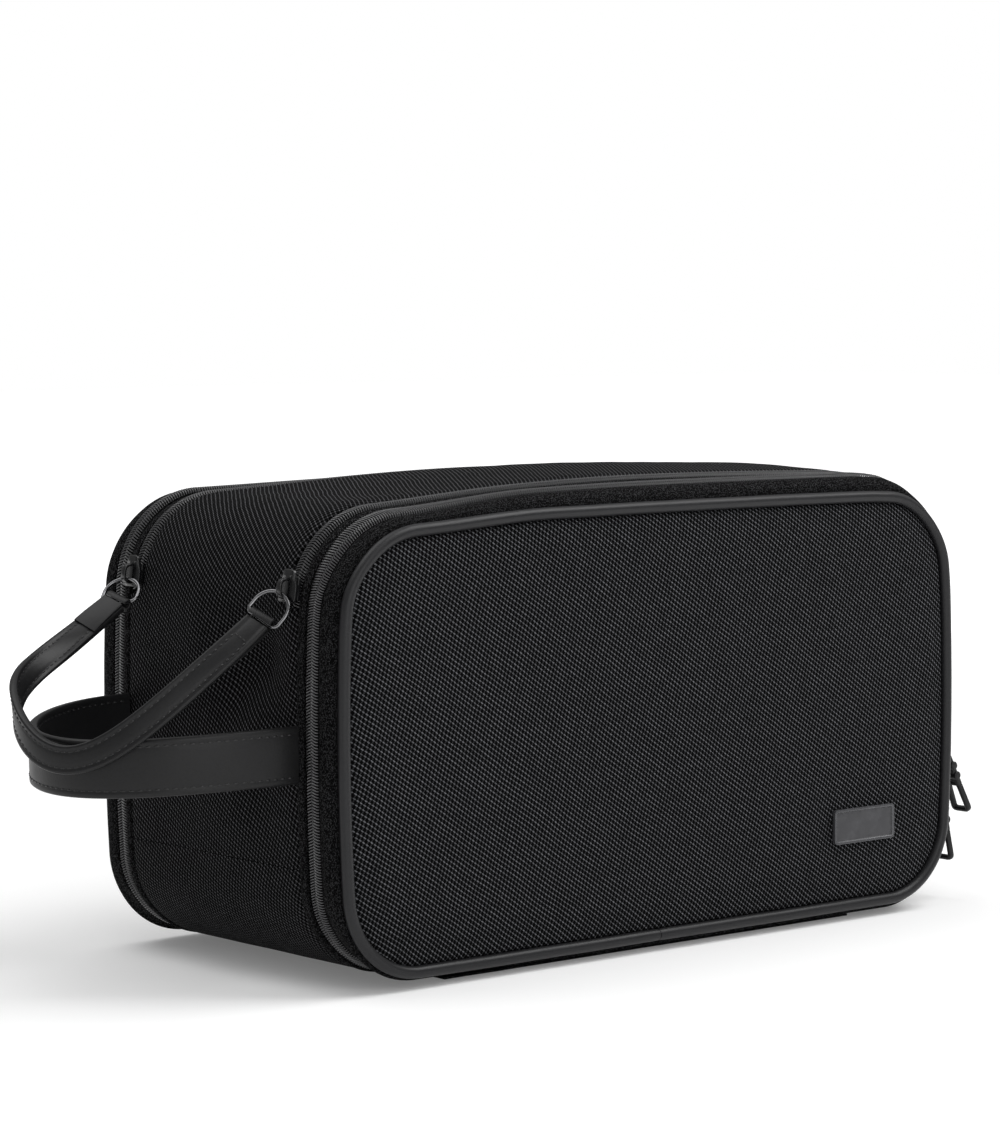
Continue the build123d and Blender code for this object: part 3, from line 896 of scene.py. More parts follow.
@dataclass(frozen=True)
class CastMetal(Finish):
    """Black finished metal with faint casting marks and polished highs."""

    @functools.cache
    def material(self) -> bpy.types.Material:
        """The metal's material."""
        made, board, shader = self.start()
        space = board.space()
        marks = board.cloud(space, 380.0, 5.0)
        scuff = board.spread(board.cloud(space, 160.0, 6.0), 0.56, 0.7)
        colour = board.blend(board.times(scuff, 0.4), self.shade(1.0), self.shade(1.8))
        rough = board.spread(marks, 0.3, 0.7, self.roughness * 0.8, self.roughness * 1.3)
        board.feed(shader.inputs["Base Color"], colour)
        board.feed(shader.inputs["Roughness"], rough)
        self.emboss(board, shader, marks, 0.01)
        return made


@dataclass(frozen=True)
class Nylon(Finish):
    """Dull nylon thread or coil with fine lengthwise streaks."""

    @functools.cache
    def material(self) -> bpy.types.Material:
        """The nylon's material."""
        made, board, shader = self.start()
        space = board.space()
        streaks = board.cloud(space, 2600.0, 3.0)
        tone = board.place(tone_group(), Where=space, Size=60.0, Amount=0.3).outputs["Tone"]
        colour = board.blend(board.times(streaks, tone), self.shade(0.5), self.shade(1.6))
        board.feed(shader.inputs["Base Color"], colour)
        self.emboss(board, shader, streaks, 0.03)
        return made


PANEL_CLOTH = WovenCloth("panel_cloth", (0.030, 0.0305, 0.033), 0.6, 0.25)
SHELL_CLOTH = WovenCloth(
    "shell_cloth", (0.022, 0.022, 0.0235), 0.66, 0.2, contrast=0.9, relief=0.24
)
TAPE_CLOTH = BindingCloth("zip_tape_cloth", (0.010, 0.010, 0.0105), 0.75, 0.12, flecks=2300.0)
BINDING = BindingCloth("woven_binding", (0.017, 0.017, 0.018), 0.7, 0.16)
LINING_CLOTH = WovenCloth(
    "lining_cloth", (0.028, 0.028, 0.030), 0.55, 0.3, pitch=0.3, contrast=0.4, relief=0.06
)
PIPING_SKIN = Skin("piping_skin", (0.013, 0.013, 0.0142), 0.4, 0.28)
STRAP_SKIN = Skin("strap_skin", (0.008, 0.008, 0.0085), 0.4, 0.26, grain=1300.0)
PULL_RUBBER = Skin(
    "pull_rubber", (0.010, 0.010, 0.0105), 0.45, 0.28, grain=2500.0, relief=0.008
)
BLACK_METAL = CastMetal("black_metal", (0.004, 0.004, 0.0045), 0.22, 0.35, coat=0.15)
RING_METAL = CastMetal("ring_metal", (0.16, 0.16, 0.165), 0.2, 0.5, metallic=1.0)
PLATE_METAL = CastMetal("plate_metal", (0.042, 0.042, 0.046), 0.42, 0.4)
PLATE_RIM = CastMetal("plate_rim", (0.12, 0.122, 0.13), 0.3, 0.5, metallic=0.6)
COIL_NYLON = Nylon("zip_coil", (0.060, 0.060, 0.062), 0.26, 0.5)
THREAD = Nylon("sewing_thread", (0.012, 0.012, 0.0125), 0.4, 0.4)


def dress(obj: bpy.types.Object, finish: Finish) -> bpy.types.Object:
    """Give a piece one finish all over."""
    obj.data.materials.clear()
    obj.data.materials.append(finish.material())
    return obj


def settle(obj: bpy.types.Object, body: str, slot: Slot, *nodes: str) -> bpy.types.Object:
    """Make a finished piece ride on its body and stand for its CAD nodes.

    Args:
        obj: The finished piece.
        body: The body that it moves with.
        slot: The record's material slot that its finish stands for; not used.
        nodes: The CAD nodes that it replaces.

    Returns:
        The same piece.
    """
    if "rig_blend" not in obj:
        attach(obj, body)
    if nodes:
        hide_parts(*nodes)
    LOG.info("%s: %d faces, on %s", obj.name, len(obj.data.polygons), body)
    return obj


# Parts that several sub-assemblies share


@dataclass(frozen=True)
class Band:
    """A sewn band that runs round the outline with one cross section.

    Each rib of the section is a depth and the outline that it follows there; the
    ribs go round the section, outer face first.
    """

    name: str
    ribs: Sequence[tuple[float, Outline]]
    first: float = 0.0
    last: float = 9.0
    pitch: float = 2.0
    ripples: float = 0.12

    def build(self) -> bpy.types.Object:
        """Draw the band as one closed mesh."""
        loop = self.last - self.first == 9
        places = self.ribs[0][1].places(self.first, self.last, self.pitch)
        rows = []
        for place in places[:-1] if loop else places:
            row = []
            for y, outline in self.ribs:
                point, out = outline.at(place)
                spot = Vector((point[0], y, point[1]))
                lift = self.ripples * ripple(spot, 14.0, 3.0)
                row.append(spot + Vector((out[0], 0, out[1])) * lift)
            rows.append(row)
        run = running([row[0] for row in (*rows, rows[0])])
        draft = Draft()
        draft.net(rows, run, running([*rows[0], rows[0][0]]), loop)
        return draft.build(self.name, soft=True)


def strip_section(
    y_out: float, y_in: float, line: Outline, crown: float
) -> list[tuple[float, Outline]]:
    """Section of a narrow cloth strip with soft rolled edges.

    Args:
        y_out: Depth of its first edge.
        y_in: Depth of its second edge.
        line: The outline that its face follows.
        crown: How much fuller it is along its middle.

    Returns:
        The ribs of the section.
    """
    edge = ((0.0, -0.75), (0.02, -0.32), (0.09, -0.08), (0.22, 0.35 * crown))
    shares = (*edge, (0.5, crown), *((1 - share, lift) for share, lift in reversed(edge)))
    ribs = [(y_out + (y_in - y_out) * share, lift) for share, lift in shares]
    ribs += [(y_in, -CLOTH_WALL), (y_out, -CLOTH_WALL)]
    return [(y, replace(line, grow=line.grow + lift)) for y, lift in ribs]


@dataclass(frozen=True)
class CoilHalf:
    """One half of a zip: its woven tape and the coil sewn along the tape's edge."""

    name: str
    seam_y: float
    toward: int
    line: Outline
    first: float
    last: float
    tape_width: float = 3.1
    pitch: float = 0.92
    height: float = 2.0
    phase: float = 0.0

    def turn(self, origin: Vector, out: Vector, along: Vector, side: Vector) -> list[list[Vector]]:
        """One slanting turn of the coil.

        Args:
            origin: The middle of the seam, on top of the tape.
            out: Direction out of the bag.
            along: Direction along the zip.
            side: Direction from the seam to the tape.

        Returns:
            Rows of points round the turn's thread.
        """
        spine = (
            (2.62, -0.35, -0.62, 0.2),
            (2.3, 0.5, -0.5, 0.24),
            (1.35, 0.92, -0.12, 0.26),
            (0.42, 0.82, 0.3, 0.27),
            (-0.2, 0.4, 0.5, 0.23),
            (-0.2, -0.3, 0.52, 0.17),
        )
        spots = [origin + side * a + out * b + along * c for a, b, c, _ in spine]
        rows = []
        for i, (spot, (*_, girth)) in enumerate(zip(spots, spine)):
            ahead = (spots[min(i + 1, 5)] - spots[max(i - 1, 0)]).normalized()
            wide = (along - ahead * along.dot(ahead)).normalized()
            tall = ahead.cross(wide)
            ring = circle_section(1.0, 5)
            rows.append([spot + (wide * x + tall * y * 0.9) * girth for x, y in ring])
        return rows

    def coil(self, name: str, frames: Sequence[Sequence[Vector]]) -> bpy.types.Object:
        """Draw the coil, one turn at each frame of origin, out, along and side."""
        draft = Draft()
        for frame_vectors in frames:
            rows = self.turn(*frame_vectors)
            draft.net(rows, [0.0, 0.5, 1.5, 2.5, 3.0, 3.5], [0.5 * k for k in range(6)])
        return dress(draft.build(name, 60.0, soft=True), COIL_NYLON)

    def frames(self) -> list[tuple[Vector, Vector, Vector, Vector]]:
        """Where each turn of the coil stands round the outline."""
        base = replace(self.line, grow=self.line.grow - self.height + 0.75)
        places = base.places(self.first, self.last, self.pitch)
        side = Vector((0, self.toward, 0))
        found = []
        for place, after in zip(places, places[1:]):
            (x, z), (nx, nz) = base.at(place + (after - place) * self.phase)
            out, along = Vector((nx, 0, nz)), Vector((nz, 0, -nx))
            found.append((Vector((x, self.seam_y, z)), out, along, side))
        return found

    def sew(self, body: str, node: str) -> None:
        """Draw the tape and its coil, and settle both.

        Args:
            body: The body that they ride on.
            node: The CAD node that the coil stands for.
        """
        face = self.line.grow - self.height + 0.7
        ribs = [
            (self.seam_y + across * self.toward, replace(self.line, grow=face + lift))
            for across, lift in tape_section(self.tape_width)
        ]
        tape = Band(self.name + "_tape", ribs, self.first, self.last, ripples=0.0).build()
        coil = self.coil(self.name + "_coil", self.frames())
        settle(dress(tape, TAPE_CLOTH), body, Slot.BAND)
        settle(coil, body, Slot.COIL, node)


def tape_section(width: float, lip: float = 0.42) -> tuple[Pair, ...]:
    """Section of a zip's tape: distances from the seam, and heights."""
    return ((0.12, -0.15), (lip, 0.0), (width, 0.0), (width, -0.7), (0.12, -0.7))


def outer_zip_half(side: Side, word: str, body: str, toward: int, phase: float) -> None:
    """Sew one half of an outer zip.

    Args:
        side: The side of the bag.
        word: Which half it is, as its node spells it.
        body: The body that it rides on.
        toward: The sign of Y from the seam to its tape.
        phase: Its coil's shift, in turns.
    """
    first = OUTER_ZIP_END / OUTER_ZIP_LINE.lower_centre[0]
    seam_y = side.value * OUTER_ZIP_Y
    name = f"{side.word}_{word}_zip"
    half = CoilHalf(name, seam_y, toward, OUTER_ZIP_LINE, first, 9 - first, phase=phase)
    half.sew(body, f"{side.word}_zip_{word}_half")


@dataclass(frozen=True)
class Slider:
    """A cast zip slider with its web, its flanges and the bail for its pull."""

    name: str
    place: Matrix
    length: float = 10.0
    width: float = 8.4
    tail: float = 0.72
    lift: float = 0.5
    plate: float = 1.2
    coil: float = 2.0
    bail_length: float = 6.6
    bail_height: float = 3.4
    bail_bar: float = 1.0
    bail_width: float = 2.0
    bail_shift: float = 0.0

    def top(self) -> bpy.types.Object:
        """The upper plate, shouldered at its head and narrower at its tail."""
        made = box((self.length, self.width, self.plate), (0, 0, self.lift + self.plate / 2))
        only(made)
        bpy.ops.object.mode_set(mode="EDIT")
        bpy.ops.mesh.select_all(action="SELECT")
        bpy.ops.mesh.subdivide(number_cuts=3)
        leave_edit()
        pick(made, "VERT", lambda v: v.x < -self.length * 0.2)
        bpy.ops.transform.resize(value=(1, self.tail, 1))
        leave_edit()
        pick(made, "VERT", lambda v: v.x < -self.length * 0.45)
        bpy.ops.transform.resize(value=(1, 0.78, 1))
        leave_edit()
        high, wide, long = self.lift + self.plate, self.width * 0.3, self.length * 0.4
        pick(made, "FACE", lambda f: f.z > high - 0.01 and abs(f.y) < wide and abs(f.x) < long)
        bpy.ops.mesh.inset(thickness=0.4, depth=0.28)
        leave_edit()
        for end, share in ((-1, 0.56), (1, 1.0)):
            corner = Vector((end * self.length / 2, share * self.width / 2))
            pick(made, "EDGE", lambda e, at=corner: (Vector((e.x, abs(e.y))) - at).length < 0.02)
            bpy.ops.mesh.bevel(offset=1.1, segments=3, affect="EDGES")
            leave_edit()
        soften(made, 0.22, 2, 40)
        return made

    def flanges(self) -> list[bpy.types.Object]:
        """The two lips that turn down along the plate's long edges."""
        made = []
        for side in (-1, 1):
            middle = (self.length * 0.1, side * (self.width / 2 - 0.35), self.lift - 0.4)
            lip = box((self.length * 0.66, 0.7, 1.1), middle)
            pick(lip, "VERT", lambda v: v.x < 0)
            bpy.ops.transform.translate(value=(0, -side * 0.35, 0))
            leave_edit()
            apply(lip, "BEVEL", width=0.2, segments=2)
            made.append(lip)
        return made

    def web(self) -> bpy.types.Object:
        """The wedge at the head and the lower plate."""
        wedge = box((3.0, 0.5, self.coil + 1.7), (3.0, 0, -self.coil / 2))
        apply(wedge, "BEVEL", width=0.1, segments=2)
        lower = box((self.length, 5.6, 1.0), (0, 0, -self.coil - 1.3))
        apply(lower, "BEVEL", width=0.35, segments=3)
        return join("web", [wedge, lower])

    def bail(self) -> bpy.types.Object:
        """The arched bail on top, open from side to side."""
        half, base = self.bail_length / 2, self.lift + self.plate
        top = base + self.bail_height
        arch = [
            (0.5 - half, base - 0.3),
            (0.5 - half, base + self.bail_height * 0.45),
            (1.3 - half, top - 0.75),
            (2.2 - half, top - 0.45),
        ]
        line = arch + [(-x, z) for x, z in reversed(arch)]
        spots = [Vector((x + self.bail_shift, 0, z)) for x, z in line]
        draft = Draft()
        draft.tube(
            bar_path(spots, Vector((0, 1, 0))),
            round_section(self.bail_width, self.bail_bar, 0.3, 2),
        )
        made = draft.build("bail")
        made.data.transform(Matrix.Scale(1000, 4))
        apply(made, "SUBSURF", levels=2, render_levels=2)
        return made

    def build(self) -> bpy.types.Object:
        """Join the slider's castings and put them in place."""
        made = join(self.name, [self.top(), *self.flanges(), self.web(), self.bail()])
        place_mesh(made, self.place)
        smooth_by_angle(made, 35.0)
        return dress(made, BLACK_METAL)


@dataclass(frozen=True)
class Pull:
    """A moulded rubber pull: a tapered tab, two ribs round it and an open end loop."""

    name: str
    pivot: Vector
    lean: float
    wire: float = 1.3
    eye_length: float = 6.0
    eye_width: float = 6.4
    tab_length: float = 15.0
    neck: float = 4.4
    wide: float = 6.6
    thickness: float = 2.2
    rib_diameter: float = 3.0
    rib_spacing: float = 3.9
    loop_length: float = 10.5
    loop_wide: float = 8.4
    loop_bar: float = 1.7

    @property
    def place(self) -> Matrix:
        """The pull's own frame: X down its length, Z out of its face."""
        angle = math.radians(self.lean)
        hang = Vector((math.sin(angle), 0, -math.cos(angle)))
        return axes(self.pivot, hang, Vector((math.cos(angle), 0, math.sin(angle))))

    def hoop(
        self, corners: Sequence[Pair], width: float, height: float, round_by: float
    ) -> bpy.types.Object:
        """A closed loop of bar through rounded corners in the pull's flat."""
        line = [Vector((x, y, 0)) for x, y in rounded_loop(corners, round_by, 5)]
        section = round_section(height, width, min(width, height) * 0.42, 3)
        draft = Draft()
        draft.tube(bar_path(line, Vector((0, 0, 1)), loop=True), section, loop=True)
        made = draft.build("hoop")
        made.data.transform(Matrix.Scale(1000, 4))
        return made

    def tab(self) -> bpy.types.Object:
        """The long tapered tab, pressed a little hollow along its face."""
        start = self.eye_length - self.wire / 2
        size = (self.tab_length, self.neck, self.thickness)
        made = box(size, (start + self.tab_length / 2, 0, 0))
        pick(made, "VERT", lambda v: v.x > start + 1)
        bpy.ops.transform.resize(value=(1, self.wide / self.neck, 1))
        leave_edit()
        pick(made, "FACE", lambda f: abs(abs(f.z) - self.thickness / 2) < 0.01)
        bpy.ops.mesh.inset(thickness=0.7, depth=0.0)
        bpy.ops.mesh.inset(thickness=0.5, depth=-0.18)
        leave_edit()
        soften(made, 0.55, 4, 50)
        return made

    def ribs(self) -> list[bpy.types.Object]:
        """The two round ribs that wrap the tab near its wide end."""
        end = self.eye_length - self.wire / 2 + self.tab_length
        made = []
        for count in (1, 2):
            bpy.ops.object.select_all(action="DESELECT")
            bpy.ops.mesh.primitive_cylinder_add(
                vertices=24,
                radius=self.rib_diameter / 2,
                depth=self.wide + 0.6,
                location=(end - count * self.rib_spacing, 0, 0),
                rotation=(math.pi / 2, 0, 0),
            )
            rib = bpy.context.object
            bpy.ops.object.transform_apply(location=True, rotation=True, scale=True)
            soften(rib, 0.6, 4, 50)
            made.append(rib)
        return made

    def build(self) -> bpy.types.Object:
        """Join the pull's parts and hang it from its pivot."""
        side, end = self.eye_width / 2 - self.wire / 2, self.eye_length
        corners = ((0, -side), (end, -side), (end, side), (0, side))
        eye = self.hoop(corners, self.wire, self.wire, 1.0)
        start = end - self.wire / 2 + self.tab_length - self.loop_bar / 2
        stop = start + self.loop_length
        near, wide = (x / 2 - self.loop_bar / 2 for x in (self.wide, self.loop_wide))
        corners = ((start, -near), (stop, -wide), (stop, wide), (start, near))
        loop = self.hoop(corners, self.loop_bar, self.thickness, 1.3)
        made = join(self.name, [eye, self.tab(), *self.ribs(), loop])
        place_mesh(made, self.place)
        smooth_by_angle(made, 40.0)
        return dress(made, PULL_RUBBER)


def rounded_loop(corners: Sequence[Pair], radius: float, steps: int) -> list[Pair]:
    """A closed line through corners, each turned into a soft arc."""
    line = []
    count = len(corners)
    for i, corner in enumerate(corners):
        here = Vector(corner)
        before = (Vector(corners[i - 1]) - here).normalized()
        after = (Vector(corners[(i + 1) % count]) - here).normalized()
        for k in range(steps + 1):
            t = k / steps
            spot = here + before * radius * (1 - t) ** 2 + after * radius * t**2
            line.append((spot.x, spot.y))
    return line


def stitch_row(
    draft: Draft, path: Sequence[Matrix], offset: float, level: float, pitch: float, length: float
) -> None:
    """Lay a row of short sewn stitches along a path.

    Args:
        draft: The draft that the stitches are added to.
        path: Places along a band, X across it, Y out of its face and Z along it.
        offset: How far across the band the row runs.
        level: How far out of the band's middle the stitches lie.
        pitch: Distance from stitch to stitch.
        length: Length of one stitch.
    """
    points = [m @ Vector((offset, level, 0)) for m in path]
    run = running(points)
    count = int(run[-1] / pitch)
    wanted = ((k + 0.5) * run[-1] / count for k in range(count))
    for at, share in spots_along(run, wanted):
        middle = points[at].lerp(points[at + 1], share)
        ahead = (points[at + 1] - points[at]).normalized()
        out = (path[at].to_3x3() @ Vector((0, 1, 0))) * (1 if level > 0 else -1)
        add_stitch(draft, middle, ahead, out, ahead.cross(out).normalized(), length)


def add_stitch(
    draft: Draft, middle: Vector, ahead: Vector, out: Vector, side: Vector, length: float
) -> None:
    """Add one stitch that dips into the cloth at both ends."""
    rows = []
    arch = ((-0.5, -1.1, 0.5), (-0.28, 0.1, 1.0), (0.28, 0.1, 1.0), (0.5, -1.1, 0.5))
    for share, sink, thick in arch:
        centre = middle + ahead * (share * length) + out * (sink * THREAD_GIRTH)
        ring = circle_section(THREAD_GIRTH * thick, 5)
        rows.append([centre + side * x + out * y for x, y in ring])
    draft.net(rows, [0.0, 0.3, 0.8, 1.1], [0.2 * k for k in range(6)])


# Sub-assemblies


@dataclass
class PaddedLid:
    """A padded face of the bag with its piping, its band and half of its zip."""

    side: Side
    piping_y: float = 61.9
    piping_grow: float = -0.35
    piping_diameter: float = 3.9
    panel_grow: float = -2.3
    panel_front: float = 63.35
    panel_back: float = 59.35
    band_out: float = 59.7
    band_in: float = 54.2
    band_grow: float = 3.6
    name_plate_at: Pair = (87.0, 31.9)
    name_plate_half: Pair = (14.0, 5.8)
    swell: float = 0.9

    @property
    def body(self) -> str:
        """The body that the lid's pieces ride on."""
        return f"{self.side.word}_lid"

    def face_level(self, share: float, x: float, z: float) -> float:
        """How far the panel's face stands out at a share of the way in from its edge."""
        inward = share * 60.0
        roll = 1.9 * math.exp(-inward / 1.5)
        tuck = 0.5 * math.exp(-((inward - 3.4) / 2.2) ** 2)
        swell = self.swell * (1 - math.exp(-inward / 26.0))
        slack = 0.22 * ripple(Vector((x, 0, z)), 52.0, 5.0 + self.side.value)
        level = self.panel_front - roll - tuck + swell + slack * min(1.0, inward / 12.0)
        if self.side is Side.FRONT:
            px, pz = self.name_plate_at
            hx, hz = self.name_plate_half
            off = math.hypot(max(0.0, abs(x - px) - hx), max(0.0, abs(z - pz) - hz))
            flat = math.exp(-((off / 7.0) ** 2))
            level += (self.panel_front - 0.12 - level) * flat
        return level

    def panel(self) -> bpy.types.Object:
        """The padded panel, crowned, with its edge rolled in beside the piping."""
        sign = self.side.value
        outline = Outline(self.panel_grow)
        shares = [0.0, 0.006, 0.014, 0.026, 0.042, 0.062, 0.086, 0.115, 0.15]
        shares += [0.19 + 0.81 * i / 22 for i in range(23)]
        fronts, backs = [], []
        for share in shares:
            points = outline.spokes(share, (62.0, 74.0))
            back = sign * (self.panel_back + 0.25 * math.exp(-share * 40))
            fronts.append([Vector((x, sign * self.face_level(share, x, z), z)) for x, z in points])
            backs.append([Vector((x, back, z)) for x, z in points])
        made = sheet(f"{self.side.word}_padded_panel", [*reversed(backs), *fronts])
        dress(made, PANEL_CLOTH)
        return settle(made, self.body, Slot.SHELL, f"{self.side.word}_panel")

    def piping(self) -> bpy.types.Object:
        """The welt round the panel, a little uneven, with its ends butted below."""
        outline = Outline(self.piping_grow)
        joint = 4.0 / outline.lower_centre[0]
        places = outline.places(joint + 0.0012, joint + 8.9988, 2.2)
        path = []
        for place in places:
            (x, z), (nx, nz) = outline.at(place)
            spot = Vector((x, self.side.value * self.piping_y, z))
            out = Vector((nx, 0, nz))
            wobble = 0.14 * ripple(spot, 30.0, 8.0)
            path.append(axes(spot + out * wobble, out, Vector((nz, 0, -nx))))
        rows = []
        for i, m in enumerate(path):
            end = min(i, len(path) - 1 - i)
            swell = 1 + 0.025 * ripple(m.translation, 9.0, 1.0)
            girth = self.piping_diameter / 2 * swell * (1 - 0.07 * math.exp(-end / 0.8))
            rows.append([m @ Vector((x, y, 0)) for x, y in circle_section(girth, 18)])
        draft = Draft()
        draft.net(rows, [i * 2.2 for i in range(len(rows))], [k * 0.8 for k in range(19)])
        made = dress(draft.build(f"{self.side.word}_welt_piping", soft=True), PIPING_SKIN)
        return settle(made, self.body, Slot.PIPING, f"{self.side.word}_piping")

    def flange(self) -> bpy.types.Object:
        """The sewn edge that the piping stands on, between the panel and the band."""
        sign = self.side.value
        spots = ((61.2, -1.4), (60.3, 0.9), (59.9, 2.9), (59.2, 2.9), (59.4, -0.6), (60.6, -2.4))
        ribs = [(sign * y, Outline(grow)) for y, grow in spots]
        made = dress(Band(f"{self.side.word}_sewn_edge", ribs, ripples=0.0).build(), BINDING)
        return settle(made, self.body, Slot.BAND)

    def band(self) -> bpy.types.Object:
        """The binding between the piping and the zip."""
        sign, line = self.side.value, Outline(self.band_grow, drop=-0.6)
        ribs = strip_section(sign * self.band_out, sign * self.band_in, line, crown=0.25)
        made = dress(Band(f"{self.side.word}_ribbed_band", ribs).build(), BINDING)
        return settle(made, self.body, Slot.BAND, f"{self.side.word}_lid_band")

    def build(self) -> None:
        """Build the lid's pieces in order."""
        self.panel()
        self.piping()
        self.flange()
        self.band()
        outer_zip_half(self.side, "lid", self.body, self.side.value, 0.0)


def sheet(name: str, rows: Sequence[Sequence[Vector]]) -> bpy.types.Object:
    """A thick sheet from closed rows that start and end on one core line.

    Args:
        name: The sheet's name.
        rows: Rows from the core of one face, round the rim, to the core of the other.

    Returns:
        The closed sheet, its flat coordinates read straight off its X and Z.
    """
    draft = Draft()
    draft.net(rows, [0.0] * len(rows), [0.0] * (len(rows[0]) + 1))
    del draft.faces[-2:], draft.flat[-2:]
    made = draft.build(name, 60.0, soft=True)
    work = bmesh.new()
    work.from_mesh(made.data)
    bmesh.ops.remove_doubles(work, verts=work.verts, dist=0.00002)
    bmesh.ops.recalc_face_normals(work, faces=work.faces)
    work.to_mesh(made.data)
    work.free()
    flat = made.data.uv_layers["flat"]
    for loop in made.data.loops:
        spot = made.data.vertices[loop.vertex_index].co
        flat.data[loop.index].uv = (spot.x, spot.z)
    smooth_by_angle(made, 60.0)
    return made


@dataclass
class CentreCloth:
    """The wide cloth round the bag's middle: base, both ends and the top flap."""

    half_depth: float = 44.4
    flap_half: float = 37.8
    crown_line: Outline = Outline(5.4, 0.4, -0.8, top_bow=5.6)
    base_seam: float = 36.6
    slot_height: float = 116.9
    cross_low: float = 117.2
    cross_high: float = 124.0
    columns: int = 32
    dents: tuple[tuple[tuple[float, float, float, float, float], ...], ...] = (
        (
            (-7.0, -24.0, 99.6, 13.0, 12.0),
            (-2.2, -13.0, 88.6, 9.0, 9.0),
            (1.4, -27.0, 77.6, 14.0, 7.0),
            (1.5, 6.0, 106.6, 12.0, 16.0),
            (1.2, -8.0, 50.6, 22.0, 12.0),
            (-1.3, -30.0, 58.6, 8.0, 14.0),
        ),
        ((1.0, 4.0, 84.0, 22.0, 22.0), (-1.2, 22.0, 60.0, 10.0, 14.0)),
    )

    def half_width(self, place: float, height: float, left: bool) -> float:
        """Half the cloth's width at a height on one end."""
        if place > 9:
            place -= 9
        if 2 <= place < 4.5 and left:
            share = min(1.0, max(0.0, (height - self.slot_height + 0.7) / 0.7))
            return self.half_depth + (self.flap_half - self.half_depth) * share
        return self.flap_half if 4 <= place < 6 else self.half_depth

    def relief(self, spot: Vector) -> float:
        """How far the cloth swells or sinks at a spot, in millimetres."""
        edge = max(0.0, 1 - (abs(spot.y) / 42.0) ** 4)
        lift = 0.55 * ripple(spot, 38.0, 2.0) + 0.18 * ripple(spot, 15.0, 4.0)
        if abs(spot.x) > 90:
            x = math.copysign(134.0, spot.x)
            for height, y, z, reach_y, reach_z in self.dents[spot.x > 0]:
                lift += height * hill(spot, (x, y, z), (60.0, reach_y, reach_z))
        if spot.z < 3:
            lift = -abs(lift) * 0.4
        return lift * edge

    def cloth(self, name: str, first: float, last: float, left: bool) -> bpy.types.Object:
        """A stretch of the cloth between two places on the outline."""
        inner = replace(CLOTH_LINE, grow=CLOTH_LINE.grow - CLOTH_WALL)
        rows = []
        for place in CLOTH_LINE.places(first, last, 1.7):
            (ex, ez), (nx, nz) = CLOTH_LINE.at(place)
            (mx, mz), _ = self.crown_line.at(place)
            (ix, iz), _ = inner.at(place)
            half = self.half_width(place, ez, left)
            out, row = Vector((nx, 0, nz)), []
            for k in range(self.columns + 1):
                y = half * (2 * k / self.columns - 1)
                crown = 1 - (y / half) ** 2
                spot = Vector((ex + (mx - ex) * crown, y, ez + (mz - ez) * crown))
                roll = -0.5 * math.exp(-(half - abs(y)) / 0.8)
                row.append(spot + out * (self.relief(spot) + roll))
            for k in range(self.columns, -1, -4):
                spot = Vector((ix, half * (2 * k / self.columns - 1), iz))
                row.append(spot + out * min(0.0, self.relief(spot)))
            rows.append(row)
        run = running([row[self.columns // 2] for row in rows])
        draft = Draft()
        draft.net(rows, run, [0.0] * (len(rows[0]) + 1))
        made = draft.build(name, 50.0, soft=True)
        layer = made.data.uv_layers["flat"]
        for loop in made.data.loops:
            spot = layer.data[loop.index]
            spot.uv = (-made.data.vertices[loop.vertex_index].co.y, spot.uv.x)
        return dress(made, SHELL_CLOTH)

    def build(self) -> None:
        """Build the base, the right end, and the left end with its flap."""
        at = CLOTH_LINE.place_at_height
        end_seam = self.base_seam + 0.2
        base = self.cloth("base_cloth", at(self.base_seam, 1), 9 + at(self.base_seam, -1), False)
        settle(base, "shell", Slot.SHELL, "base_panel")
        right = self.cloth("right_end_cloth", at(self.cross_low, 1), at(end_seam, 1), False)
        settle(right, "shell", Slot.SHELL, "right_end_panel")
        flap = self.cloth("left_end_and_flap_cloth", at(end_seam, -1), at(self.cross_high, 1), True)
        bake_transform(flap, "shell", "top_flap", start=(-0.134, 0, 0.1236), end=(-0.130, 0, 0.1356))
        settle(flap, "shell", Slot.SHELL, "left_end_panel", "top_flap_panel")


